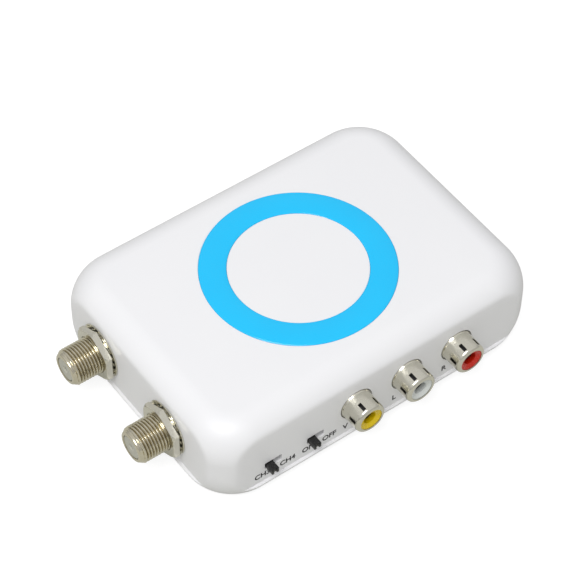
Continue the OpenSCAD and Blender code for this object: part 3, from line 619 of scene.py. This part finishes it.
def grow(made, tree, values):
    """Runs the object through a tree with its inputs set, and keeps the plain mesh."""
    modifier = made.modifiers.new(tree.name, "NODES")
    modifier.node_group = tree
    sockets = {i.name: i.identifier for i in tree.interface.items_tree if i.in_out == "INPUT"}
    for label, value in values.items():
        modifier[sockets[label]] = value
    return settle(made)


THREAD, RING, CORNERS = thread_tree(), ring_tree(), corner_tree()


# Case


def foot_angle(z):
    """Angle up the tucked foot at a height."""
    return math.asin(1 - z / FOOT_ROUND_H)


def foot_slice(angle):
    """Inset and height at an angle up the tucked foot."""
    return FOOT_ROUND_W * (1 - math.cos(angle)), FOOT_ROUND_H * (1 - math.sin(angle))


def top_slice(angle):
    """Inset and height at an angle up the round top."""
    return TOP_ROUND_W * (1 - math.cos(angle)), CASE_H - TOP_ROUND_H * (1 - math.sin(angle))


def roof_slice(angle):
    """Inset and height of the hollow, one roof thickness inside the round top."""
    inset, height = top_slice(angle)
    lean = Vector((math.cos(angle) / TOP_ROUND_W, math.sin(angle) / TOP_ROUND_H)).normalized()
    return max(inset + ROOF_T * lean.x, INNER_INSET), height - ROOF_T * lean.y


def soft_floor(value, limit):
    """The value kept above a limit, with a soft turn from one to the other."""
    past = value - limit
    return limit + (past + math.sqrt(past * past + CREASE_SOFT * CREASE_SOFT)) / 2


def case_ring(inset, z, flat=True, steps=CORNER_STEPS):
    """One outline of the case; the front and left sides flatten into their panels."""
    depth = PANEL_DEPTH * min(max((z - PANEL_LOW + LEDGE_H) / LEDGE_H, 0), 1)
    outline = rounded(HALF_L - inset, HALF_W - inset, CORNER_R - inset, steps)
    if not flat:
        return [(x, y, z) for x, y in outline]
    return [
        (soft_floor(x, -HALF_L + depth), soft_floor(y, -HALF_W + depth), z) for x, y in outline
    ]


def span(first, last, steps):
    """Evenly spaced values from first to last, both included."""
    return [first + (last - first) * i / steps for i in range(steps + 1)]


def quarter(r, z, wide, tall, steps):
    """Points of a quarter round about (r, z), from its widest point to its end."""
    turns = span(0, math.pi / 2, steps)
    return [(r + wide * math.cos(a), z + tall * math.sin(a)) for a in turns]


def plug(name, radius, low, high, flare_at=None, steps=96, ease=EDGE):
    """Round cutter along Z; flare_at is the face whose edge it also breaks."""
    if flare_at is None:
        return turned(name, [(0, low), (radius, low), (radius, high), (0, high)], steps)
    profile = [(0, low), (radius, low), (radius, flare_at - ease)]
    profile += [(radius + ease, flare_at), (radius + ease, high), (0, high)]
    return turned(name, profile, steps)


CUT = 0.5 * MM  # a cutter reaches this far past the face that it opens
TOWER_X = HALF_L - CORNER_R + 1.2 * MM
TOWER_Y = HALF_W - CORNER_R + 2.6 * MM
TOWERS = [(x, y) for x in (-TOWER_X, TOWER_X) for y in (-TOWER_Y, TOWER_Y)]
BOARD_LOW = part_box("circuit_board")[0]
TOWER_LOW = BOARD_LOW.z - 0.5 * MM
TOWER_R, TOWER_BORE_R, TOWER_BORE_L = 3 * MM, 1.3 * MM, 7 * MM
SEAT_R, WELL_R, WELL_L, SHANK_HOLE_R = 4 * MM, 2.7 * MM, 2.5 * MM, 1.4 * MM
RIM_T, RIM_FIT, RIM_DROP = 1.2 * MM, 0.2 * MM, 1 * MM
RING_LOW, RING_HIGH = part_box("ring_inlay")
RING_W = 6.9 * MM
RING_OUTER_R = RING_HIGH.x + HAIR
RING_INNER_R = RING_OUTER_R - RING_W
RING_STEPS, HOLLOW_STEPS = 256, 16
RING_PROUD, RING_BEVEL = 0.3 * MM, 0.35 * MM
GROOVE = 1.1 * MM
AERIAL_R, AERIAL_HOLE_R = 4.7625 * MM, 4.9625 * MM
PHONO_HOLE_R = 4.6 * MM
POWER_FLAT_R, POWER_HOLE_R = 6.5 * MM, 4.2 * MM
WINDOW_HALF_L, WINDOW_HALF_H, WINDOW_CORNER_R = 2.4 * MM, 1 * MM, 0.25 * MM


def at_towers(make):
    """One piece from make() at each screw tower."""
    return [moved(make(), Matrix.Translation((x, y, 0))) for x, y in TOWERS]


def window_cutter(side):
    """Cutter for a switch window, a little wider at the face of the panel."""
    knob_low, knob_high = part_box(side + "_switch_knob")
    at_x, at_z = middle(side + "_switch_frame").x, (knob_low.z + knob_high.z) / 2
    rings = []
    for y, wider in [(-CUT, EDGE), (0, EDGE), (EDGE, 0), (WALL + CUT, 0)]:
        half = WINDOW_HALF_L + wider, WINDOW_HALF_H + wider
        rings.append([(x, z, -y) for x, z in rounded(*half, WINDOW_CORNER_R + wider, 4)])
    made = stacked(side + "_window", rings[::-1])
    return moved(made, on_front(at_x, FRONT_Y, at_z))


def upper_shell():
    """Upper shell: one smooth loft with its hollow, screw towers and every opening."""
    ledge, panel = foot_angle(PANEL_LOW - LEDGE_H), foot_angle(PANEL_LOW)
    slices = [foot_slice(a) for a in span(foot_angle(SEAM_H), ledge, 8)]
    slices += [foot_slice(a) for a in span(ledge, panel, 6)[1:]]
    slices += [foot_slice(a) for a in span(panel, 0, FOOT_STEPS)[1:]]
    slices += [top_slice(a) for a in span(0, math.pi / 2, TOP_STEPS)[1:]]
    shell = stacked("white_upper_shell", [case_ring(*s) for s in slices])
    hollow = [roof_slice(a) for a in span(0, math.pi / 2, HOLLOW_STEPS)]
    hollow = [case_ring(*s, False, HOLLOW_STEPS) for s in [(INNER_INSET, -CUT), *hollow]]
    carve(shell, [stacked("hollow", hollow)])
    tower_high, bore_high = CASE_H - ROOF_T / 2, TOWER_LOW + TOWER_BORE_L
    tower = [(TOWER_BORE_R, TOWER_LOW), (TOWER_R, TOWER_LOW), (TOWER_R, tower_high)]
    tower += [(0, tower_high), (0, bore_high), (TOWER_BORE_R, bore_high)]
    carve(shell, at_towers(lambda: turned("tower", tower, 32)), "UNION")
    low, high = CASE_H - GROOVE, CASE_H + CUT
    groove = [(RING_INNER_R, low), (RING_OUTER_R, low), (RING_OUTER_R, high), (RING_INNER_R, high)]
    groove = turned("groove", groove, RING_STEPS)
    aerials = [moved(plug("hole", AERIAL_HOLE_R, -WALL - CUT, CUT, 0), out_left(s)) for s in AERIALS]
    phonos = [
        moved(plug("hole", PHONO_HOLE_R, -WALL - CUT, CUT, 0, 96, EDGE / 3), out_front(s))
        for s in PHONOS
    ]
    windows = [window_cutter(s) for s in SWITCHES]
    power = [
        moved(plug("spot", POWER_FLAT_R, 0, PANEL_DEPTH + CUT), out_right()),
        moved(plug("hole", POWER_HOLE_R, -WALL - CUT, CUT, 0), out_right()),
    ]
    carve(shell, [groove, *aerials, *phonos, *windows, *power])
    return dress(shell, "upper_shell")


def lower_shell():
    """Lower shell: the foot of the case with its locating rim, screw towers and wells."""
    top = SEAM_H - SEAM_GAP
    slices = [foot_slice(a) for a in span(math.pi / 2, foot_angle(top), 16)]
    shell = stacked("white_lower_shell", [case_ring(*s, False) for s in slices])
    outside = [size - INNER_INSET - RIM_FIT for size in (HALF_L, HALF_W, CORNER_R)]
    inside = [size - RIM_T for size in outside]
    rim_high = BOARD_LOW.z - RIM_DROP
    rim = plate("rim", *outside, top / 2, rim_high, 24)
    carve(rim, [plate("inside", *inside, top, rim_high + CUT, 24)])
    seats = at_towers(lambda: plug("seat", SEAT_R, top / 2, TOWER_LOW - HAIR, None, 48))
    carve(shell, [rim, *seats], "UNION")
    well = [(0, -CUT), (WELL_R + EDGE, -CUT), (WELL_R + EDGE, 0), (WELL_R, EDGE), (WELL_R, WELL_L)]
    well += [(SHANK_HOLE_R, WELL_L), (SHANK_HOLE_R, TOWER_LOW + CUT), (0, TOWER_LOW + CUT)]
    carve(shell, at_towers(lambda: turned("well", well, 48)))
    return dress(shell, "lower_shell")


def ring_inlay():
    """Blue ring: flat, a little proud of the case, with a polished bevel along both edges."""
    inner, outer = RING_INNER_R + HAIR, RING_OUTER_R - HAIR
    top, ease, bevel_h = CASE_H + RING_PROUD, 0.06 * MM, RING_BEVEL * 0.6
    edge = [
        (0, bevel_h + ease),
        (ease / 2, bevel_h - ease / 2),
        (RING_BEVEL - ease, ease / 2),
        (RING_BEVEL + ease, 0),
    ]
    profile = [(inner, RING_LOW.z), (outer, RING_LOW.z)]
    profile += [(outer - inwards, top - down) for inwards, down in edge]
    profile += [(inner + inwards, top - down) for inwards, down in edge[::-1]]
    return dress(turned("blue_ring", profile, RING_STEPS, 20), "ring_inlay")


# Aerial sockets

BARREL_REACH = LEFT_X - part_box("tv_socket_body")[0].x
NOSE_TIP_R, NOSE_FACE_R, NOSE_CHAMFER = 4.05 * MM, 3.35 * MM, 0.4 * MM
FLANGE_R, FLANGE_T = 6 * MM, 1 * MM
PITCH, TURN_ROWS = 25.4 * MM / 32, 12
THREAD_ROOT_R = 4.3 * MM
BORE_R = 3.1 * MM
WIRE_HOLE_R, WIRE_HOLE_L, WIRE_LEAD = 0.7 * MM, 2.5 * MM, 0.3 * MM
SPRING_R, SPRING_L, TAIL_R = 1.35 * MM, 5 * MM, 0.5 * MM
DISC_FRONT, DISC_BACK = 0.2 * MM, 2.2 * MM
FLAT_T, FLAT_R, FLAT_ROLL = 0.3 * MM, 7.1 * MM, 0.1 * MM
LOCK_T, LOCK_ROOT_R = 0.35 * MM, 6.1 * MM
LOCK_TEETH, LOCK_TOOTH_W, LOCK_TWIST = 18, 0.9 * MM, math.radians(11)
LOCK_SHADOW, LOCK_TOOTH = 0.6 * MM, 0.25 * MM
NUT_FLATS, NUT_T, NUT_CHAMFER, NUT_FACE_WIDER = 12.5 * MM, 1.8 * MM, 0.5 * MM, 0.4 * MM
NUT_EASE, NUT_LEAD_R, NUT_LEAD_L = 0.12 * MM, 0.25 * MM, 0.45 * MM
NUT_BORE_R = AERIAL_R - 0.2 * MM
NUT_LOW = 3 * HAIR + FLAT_T + LOCK_T


def aerial_body(side):
    """Socket body: flange in the case, threaded barrel, smooth nose with a rolled edge."""
    back = -WALL - HAIR
    end, tip = BARREL_REACH - NOSE_L, BARREL_REACH - NOSE_CHAMFER
    rows = round((end - NUT_LOW) / PITCH * TURN_ROWS)
    nose = quarter(NOSE_FACE_R, tip, NOSE_TIP_R - NOSE_FACE_R, NOSE_CHAMFER, 8)
    profile = [(BORE_R, back - FLANGE_T), (FLANGE_R, back - FLANGE_T), (FLANGE_R, back)]
    profile += [(THREAD_ROOT_R, back), (THREAD_ROOT_R, NUT_LOW - HAIR)]
    profile += [(AERIAL_R, z) for z in span(NUT_LOW, end, rows)]
    profile += [
        (AERIAL_R + (NOSE_TIP_R - AERIAL_R) * t, end + (tip - end) * t) for t in span(0, 1, 14)[1:-1]
    ]
    profile += nose + [(BORE_R + EDGE, BARREL_REACH), (BORE_R, BARREL_REACH - EDGE)]
    body = turned(side + "_socket_barrel", profile, 128)
    sizes = {"Pitch": PITCH, "Root Radius": THREAD_ROOT_R, "Crest Radius": AERIAL_R}
    sizes["Start"] = NUT_LOW - HAIR / 2
    grow(body, THREAD, {**sizes, "Material": FINISHES["nickel_thread"]})
    shade(body, 40)
    dress(moved(body, out_left(side)), side + "_socket_body")
    body.data.materials[0] = FINISHES[side + "_socket_threaded_nickel"]
    return body


def aerial_insulator(side):
    """Insulator: a pale disc just inside the nose, with a countersunk hole for the wire."""
    front, back = BARREL_REACH - DISC_FRONT, -WALL - HAIR - DISC_BACK
    room, outer, tail = front - WIRE_HOLE_L, BORE_R - HAIR, TAIL_R + HAIR
    profile = [(WIRE_HOLE_R + WIRE_LEAD, front), (WIRE_HOLE_R, front - WIRE_LEAD)]
    profile += [(WIRE_HOLE_R, room), (SPRING_R, room), (SPRING_R, room - SPRING_L - HAIR)]
    profile += [(tail, room - SPRING_L - HAIR), (tail, back), (outer, back)]
    profile += [(outer, front - EDGE), (outer - EDGE, front)]
    disc = turned(side + "_socket_insulator_disc", profile, 64)
    return dress(moved(disc, out_left(side)), side + "_socket_insulator")


def aerial_flat_washer(side):
    """Flat washer against the panel, with its stamped edges rolled a little."""
    low, high, roll = HAIR, HAIR + FLAT_T, FLAT_ROLL
    profile = [(AERIAL_HOLE_R, low), (FLAT_R - roll / 2, low), (FLAT_R, low + roll)]
    profile += [(FLAT_R, high - roll), (FLAT_R - roll, high)]
    profile += [(AERIAL_HOLE_R + roll, high), (AERIAL_HOLE_R, high - roll)]
    washer = turned(side + "_socket_washer", profile, 128)
    return dress(moved(washer, out_left(side)), side + "_socket_flat_washer")


def aerial_lock_washer(side):
    """Toothed lock washer: a thin ring with twisted teeth round its edge."""
    low, high = 2 * HAIR + FLAT_T, 2 * HAIR + FLAT_T + LOCK_T
    ring_r = LOCK_ROOT_R - LOCK_SHADOW
    profile = [(AERIAL_HOLE_R, low), (ring_r, low), (ring_r, high), (AERIAL_HOLE_R, high)]
    washer = turned(side + "_socket_toothed_washer", profile, 96)
    tooth = (LOCK_SHADOW + 2 * LOCK_TOOTH, LOCK_TOOTH_W, LOCK_T / 2)
    teeth = {"Count": LOCK_TEETH, "Radius": LOCK_ROOT_R - LOCK_SHADOW / 2, "Size": tooth}
    teeth |= {"Twist": LOCK_TWIST, "First": 0.0, "Height": low + LOCK_T / 2}
    grow(washer, RING, {**teeth, "Material": FINISHES["nickel_plate"]})
    shade(washer)
    return dress(moved(washer, out_left(side)), side + "_socket_lock_washer")


def aerial_nut(side):
    """Hexagon nut with a point upwards, its corners cut back by the face chamfer."""
    apothem, corner = NUT_FLATS / 2, NUT_FLATS / math.sqrt(3)
    face_r, high = apothem + NUT_FACE_WIDER, NUT_LOW + NUT_T

    def profile_at(angle):
        turn = (angle % (math.pi / 3)) - math.pi / 6
        hexagon = apothem / math.cos(turn)
        edge = min(hexagon - NUT_EASE, face_r)
        past = max(0, (hexagon - face_r) / (corner - face_r))
        return [
            (NUT_BORE_R, NUT_LOW),
            (hexagon - NUT_EASE, NUT_LOW),
            (hexagon, NUT_LOW + NUT_EASE),
            (hexagon, high - NUT_EASE - NUT_CHAMFER * past),
            (edge, high),
            (AERIAL_R + NUT_LEAD_R, high),
            (NUT_BORE_R, high - NUT_LEAD_L),
        ]

    nut = turned(side + "_socket_hex_nut", profile_at, 144, 20)
    return dress(moved(nut, out_left(side)), side + "_socket_nut")


# Phono jacks

SLEEVE_R, SLEEVE_T = 4.15 * MM, 0.4 * MM
SLEEVE_REACH = FRONT_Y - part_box("video_jack_sleeve")[0].y
RIM_ROLL, RIM_LIP_R, SLOT_LIP = 0.9 * MM, 3.05 * MM, 0.1 * MM
LIP_EASE, LIP_T, LIP_ROOT = 0.06 * MM, 0.1 * MM, 0.5 * MM
SLOTS, SLOT_W, SLOT_L, SLOT_ANGLE = 6, 0.9 * MM, 2.2 * MM, math.radians(50)
INSERT_FRONT = SLEEVE_REACH - LIP_T - HAIR
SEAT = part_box("video_jack_sleeve")[1].y - FRONT_Y
# The third value on the next line: how far down the pin bore the insert keeps its colour before the
# painted shade, black, begins
FUNNEL_R, FUNNEL_L, BORE_SHADE_FROM = 2.55 * MM, 0.6 * MM, 1.9 * MM
PIN_HOLE_R, PIN_HOLE_L, CONTACT_BORE_R = 1.7 * MM, 3.35 * MM, 1.9 * MM
CAP_T, WAIST_R, WAIST_L = 0.75 * MM, 2.7 * MM, 3 * MM
# The collar's sweep into the sleeve: how much wider it is, and how far out, in millimetres
COLLAR = [(0.2, -0.1), (0.15, 0.05), (0.03, 0.2), (0, 0.35)]


def phono_sleeve(side):
    """Drawn sleeve: plain tube out of a collar, a rolled mouth, and six slots behind it."""
    inner = SLEEVE_R - SLEEVE_T
    roll_at = SLEEVE_REACH - RIM_ROLL
    profile = [(inner, -SEAT), (SLEEVE_R + COLLAR[0][0] * MM, -SEAT)]
    profile += [(SLEEVE_R + wider * MM, out * MM) for wider, out in COLLAR]
    profile += quarter(SLEEVE_R - RIM_ROLL, roll_at, RIM_ROLL, RIM_ROLL, 12)
    profile += [(RIM_LIP_R + LIP_EASE, SLEEVE_REACH), (RIM_LIP_R, SLEEVE_REACH - LIP_EASE)]
    profile += [(RIM_LIP_R, SLEEVE_REACH - LIP_T), (inner, SLEEVE_REACH - LIP_ROOT)]
    sleeve = turned(side + "_jack_drawn_sleeve", profile, 128)
    slots = {"Count": SLOTS, "Radius": SLEEVE_R, "Size": (3 * SLEEVE_T, SLOT_W, SLOT_L)}
    slots |= {"Twist": 0.0, "First": SLOT_ANGLE, "Height": roll_at - SLOT_LIP - SLOT_L / 2}
    cutter = solid("slots", [], [])
    carve(sleeve, [grow(cutter, RING, {**slots, "Material": FINISHES["nickel_plate"]})])
    return dress(moved(sleeve, out_front(side)), side + "_jack_sleeve")


def phono_insert(side):
    """Coloured insert: a cap dished like a funnel to the pin hole, on a waisted core. Behind the
    cap and deep in the pin bore it is painted black, as painted shade.
    """
    core_r, front, back = SLEEVE_R - SLEEVE_T - HAIR, INSERT_FRONT, -SEAT + HAIR
    cap, waist, bore = front - CAP_T, front - CAP_T - WAIST_L, front - PIN_HOLE_L
    profile = [(RIM_LIP_R - HAIR, front), (FUNNEL_R + EDGE, front), (FUNNEL_R, front - EDGE / 2)]
    profile += [(PIN_HOLE_R, front - FUNNEL_L), (PIN_HOLE_R, front - BORE_SHADE_FROM)]
    profile += [(PIN_HOLE_R, bore), (CONTACT_BORE_R, bore), (CONTACT_BORE_R, back)]
    profile += [(core_r, back), (core_r, waist), (WAIST_R, waist), (WAIST_R, cap)]
    profile += [(core_r, cap), (core_r, front - SLEEVE_T)]
    insert = turned(side + "_jack_coloured_insert", profile, 96)
    dress(moved(insert, out_front(side)), side + "_jack_insert")
    # Black second material: painted shade on the waist seen through the slots, on the core behind the
    # cap, and deep in the pin bore
    insert.data.materials.append(FINISHES["grey_nylon"])
    axis = middle(side + "_jack_insert")
    for face in insert.data.polygons:
        away = math.hypot(face.center.x - axis.x, face.center.z - axis.z)
        deep = face.center.y - (FRONT_Y - front)
        coloured = CAP_T - HAIR if away > WAIST_R - 2 * HAIR else BORE_SHADE_FROM
        face.material_index = int(deep > coloured)
    return insert


# Slide switches

POST_HALF_W, POST_HALF_H, POST_SINK, POST_EDGE = 1 * MM, 0.8 * MM, 0.5 * MM, 0.14 * MM
NOTCH_HALF_W, NOTCH_L = 0.35 * MM, 0.45 * MM
SLIDER_HALF_L, SLIDER_HALF_H, SLIDER_T = 2.3 * MM, 1.5 * MM, 1.55 * MM


def switch_knob(side):
    """Black knob with its slider: eased edges and a groove across the tip."""
    node = side + "_switch_knob"
    low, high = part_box(node)
    at = (low + high) / 2
    slider_y, notch_y = high.y - SLIDER_T, low.y + NOTCH_L

    def centred(name, half_w, half_h, front, back):
        return block(name, (-half_w, front, -half_h), (half_w, back, half_h))

    knob = centred("post", POST_HALF_W, POST_HALF_H, low.y, slider_y + POST_SINK)
    carve(knob, [centred("notch", NOTCH_HALF_W, 2 * POST_HALF_H, low.y - CUT, notch_y)])
    eased(knob, POST_EDGE)
    slider = centred("slider", SLIDER_HALF_L, SLIDER_HALF_H, slider_y, high.y)
    carve(knob, [slider], "UNION")
    knob.name = side + "_switch_black_knob"
    moved(knob, Matrix.Translation((at.x, 0, at.z)))
    return dress(knob, node, body=side + "_knob")


# Power socket

POWER_NOSE_R, POWER_BORE_R, POWER_BORE_L, POWER_EDGE = 4 * MM, 3.15 * MM, 9 * MM, 0.2 * MM
POWER_SETBACK = 0.25 * MM
PIN_R, PIN_ROOT_R, PIN_ROOT_L, PIN_DOME_R = 1 * MM, 1.3 * MM, 1.2 * MM, 0.35 * MM


def power_socket():
    """Barrel socket: moulded block behind, round nose in the wall, eased mouth."""
    low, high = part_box("power_socket_body")
    block_x, front = RIGHT_X - WALL - POWER_SETBACK, high.x - RIGHT_X
    body = eased(block("power_socket_moulding", low, (block_x, high.y, high.z)), POWER_EDGE)
    start = block_x - RIGHT_X - CUT
    profile = [(0, start), (POWER_NOSE_R, start), (POWER_NOSE_R, front - EDGE)]
    profile += [(POWER_NOSE_R - EDGE, front), (0, front)]
    carve(body, [moved(turned("nose", profile), out_right())], "UNION")
    bore = plug("bore", POWER_BORE_R, front - POWER_BORE_L, front + CUT, front)
    root_low = front - POWER_BORE_L - PIN_ROOT_L
    root = plug("root", PIN_ROOT_R + HAIR, root_low, front, None, 32)
    carve(body, [moved(bore, out_right()), moved(root, out_right())])
    return dress(body, "power_socket_body")


def power_pin():
    """Centre pin with a rounded tip."""
    low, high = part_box("power_socket_pin")
    start, tip = low.x - RIGHT_X, high.x - RIGHT_X
    dome = quarter(PIN_R - PIN_DOME_R, tip - PIN_DOME_R, PIN_DOME_R, PIN_DOME_R, 6)
    step = start + PIN_ROOT_L
    profile = [(0, start), (PIN_ROOT_R, start), (PIN_ROOT_R, step), (PIN_R, step), *dome, (0, tip)]
    pin = turned("power_socket_round_pin", profile, 48)
    return dress(moved(pin, out_right()), "power_socket_pin")


# Screws under the case

HEAD_R, HEAD_H, HEAD_ROLL, SHANK_R = 2.3 * MM, 1.7 * MM, 0.5 * MM, 1.2 * MM
RECESS_HALF_L, RECESS_HALF_W, RECESS_DEEP = 1.2 * MM, 0.25 * MM, 0.9 * MM


def case_screws():
    """Pan-head screws with a cross recess, one drawn and copied to the four corners."""
    low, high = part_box("case_screws")
    under = low.z + HEAD_H
    roll = quarter(HEAD_R - HEAD_ROLL, low.z + HEAD_ROLL, HEAD_ROLL, -HEAD_ROLL, 8)
    profile = [(0, low.z), *roll[::-1], (HEAD_R, under), (SHANK_R, under)]
    screw = turned("cross_recess_screws", profile + [(SHANK_R, high.z), (0, high.z)], 48)
    arms = [
        block("arm", (-half_l, -half_w, low.z - CUT), (half_l, half_w, low.z + RECESS_DEEP))
        for half_l, half_w in [(RECESS_HALF_L, RECESS_HALF_W), (RECESS_HALF_W, RECESS_HALF_L)]
    ]
    carve(screw, arms)
    spread = {"Length": 2 * TOWER_X, "Width": 2 * TOWER_Y}
    grow(screw, CORNERS, {**spread, "Material": FINISHES["screw_steel"]})
    shade(screw)
    return dress(screw, "case_screws")


# Labels

INK = printed_ink()
CAP_HEIGHT, BOLD = 1.65 * MM, 0.024
INK_PROUD, INK_T = 0.045 * MM, 0.1 * MM

# Generic marks only: channel numbers, on and off, and the three jack letters, each with its
# piece's name, its words, and its left end and baseline in millimetres
MARKS = [
    ("channel_3", "CH3", -36.8, 5.8),
    ("channel_4", "CH4", -29.6, 5.8),
    ("on", "ON", -23.2, 5.7),
    ("off", "OFF", -17.3, 5.7),
    ("video", "V", -11.4, 5.6),
    ("left", "L", 3.4, 5.8),
    ("right", "R", 18.4, 5.8),
]


def label(name, words, left, baseline):
    """Plain printed words on the front panel, from their left end and baseline."""
    curve = bpy.data.curves.new(name, "FONT")
    curve.body = words
    curve.offset = BOLD
    text = placed(name, curve)
    bpy.context.view_layer.update()
    graph = bpy.context.evaluated_depsgraph_get()
    mesh = bpy.data.meshes.new_from_object(text.evaluated_get(graph))
    bpy.data.objects.remove(text)
    made = placed(name, mesh)
    start = min(v.co.x for v in mesh.vertices)
    scale = CAP_HEIGHT / max(v.co.y for v in mesh.vertices)
    moved(made, Matrix.Diagonal((scale, scale, 1, 1)) @ Matrix.Translation((-start, 0, 0)))
    depth = made.modifiers.new("ink", "SOLIDIFY")
    depth.thickness = INK_T
    depth.offset = -1
    settle(made)
    moved(made, on_front(left, FRONT_Y - INK_PROUD + HAIR, baseline))
    made.data.materials.append(INK)
    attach(made, "case")
    return made


# Studio


def direction(azimuth, elevation):
    """Unit direction out of the object; azimuth 0 is straight in front."""
    flat = math.cos(elevation)
    return Vector((math.sin(azimuth) * flat, -math.cos(azimuth) * flat, math.sin(elevation)))


def seen_or_cast(tree, seen, cast, output):
    """Ends a tree in one shader for the lens and another for the light that it casts."""
    lens = add(tree, "ShaderNodeLightPath").outputs["Is Camera Ray"]
    choice = add(tree, "ShaderNodeMixShader", {0: lens, 1: cast.outputs[0], 2: seen.outputs[0]})
    add(tree, output, {"Surface": choice.outputs[0]})


def studio():
    """White seamless paper lit from behind, a soft dome of light, and one large softbox above
    the lens. Paper and dome look white to the lens and send a dimmer light to the object."""
    scene = bpy.context.scene
    scene.view_settings.view_transform = "Standard"
    world = bpy.data.worlds.new("studio")
    scene.world = world
    world.use_nodes = True
    tree = world.node_tree
    tree.nodes.clear()
    aim = add(tree, "ShaderNodeTexCoord").outputs["Generated"]
    height = add(tree, "ShaderNodeSeparateXYZ", {0: aim}).outputs["Z"]
    sky = {"Value": height, "From Min": HORIZON_Z, "From Max": ZENITH_Z}
    sky |= {"To Min": HORIZON_LIGHT, "To Max": ZENITH_LIGHT}
    rise = add(tree, "ShaderNodeMapRange", sky, interpolation_type="SMOOTHSTEP")
    dome = add(tree, "ShaderNodeBackground", {"Color": DOME_TINT, "Strength": rise.outputs[0]})
    white = add(tree, "ShaderNodeBackground", {"Color": WHITE, "Strength": 1.0})
    seen_or_cast(tree, white, dome, "ShaderNodeOutputWorld")

    far = PAPER_HALF
    corners = [(x, y, -HAIR) for x, y in [(-far, -far), (far, -far), (far, far), (-far, far)]]
    floor = solid("floor", corners, [(0, 1, 2, 3)], 30, False)
    paper = bpy.data.materials.new("backlit_white_paper")
    paper.use_nodes = True
    tree = paper.node_tree
    tree.nodes.clear()
    dim = add(tree, "ShaderNodeBsdfDiffuse", {"Color": PAPER_TINT})
    pale = add(tree, "ShaderNodeBsdfDiffuse", {"Color": PAPER_PALE})
    glow = add(tree, "ShaderNodeEmission", {"Color": WHITE, "Strength": PAPER_GLOW})
    lit = add(tree, "ShaderNodeAddShader", {0: pale.outputs[0], 1: glow.outputs[0]})
    seen_or_cast(tree, lit, dim, "ShaderNodeOutputMaterial")
    floor.data.materials.append(paper)

    lamp = bpy.data.lights.new("softbox", "AREA")
    lamp.shape = "SQUARE"
    lamp.size = SOFTBOX_SIZE
    lamp.energy = SOFTBOX_LIGHT * math.pi**2 * SOFTBOX_DISTANCE**2
    towards = direction(SOFTBOX_AZIMUTH, SOFTBOX_ELEVATION)
    softbox = placed("softbox", lamp)
    softbox.rotation_euler = towards.to_track_quat("Z", "Y").to_euler()
    softbox.location = towards * SOFTBOX_DISTANCE


def camera():
    """Camera at the photograph's angle, with its small roll and pan."""
    back = direction(CAMERA_AZIMUTH, CAMERA_ELEVATION)
    level = Vector((math.cos(CAMERA_AZIMUTH), math.sin(CAMERA_AZIMUTH), 0))
    above = back.cross(level)
    turn, tilt = math.cos(CAMERA_ROLL), math.sin(CAMERA_ROLL)
    right, up = level * turn + above * tilt, above * turn - level * tilt
    place = back * CAMERA_DISTANCE - right * CAMERA_PAN.x - up * CAMERA_PAN.y
    data = bpy.data.cameras.new("camera")
    data.lens = CAMERA_LENS
    data.sensor_width = SENSOR_WIDTH
    data.clip_start = CAMERA_DISTANCE / 10
    made = placed("camera", data)
    made.matrix_world = axes(right, up, back, place)
    bpy.context.scene.camera = made


paint_nodes()
upper_shell()
lower_shell()
ring_inlay()
for side in AERIALS:
    aerial_body(side)
    aerial_insulator(side)
    aerial_flat_washer(side)
    aerial_lock_washer(side)
    aerial_nut(side)
for side in PHONOS:
    phono_sleeve(side)
    phono_insert(side)
for side in SWITCHES:
    switch_knob(side)
power_socket()
power_pin()
case_screws()
for name, words, left, baseline in MARKS:
    label("label_" + name, words, left * MM, baseline * MM)
studio()
camera()
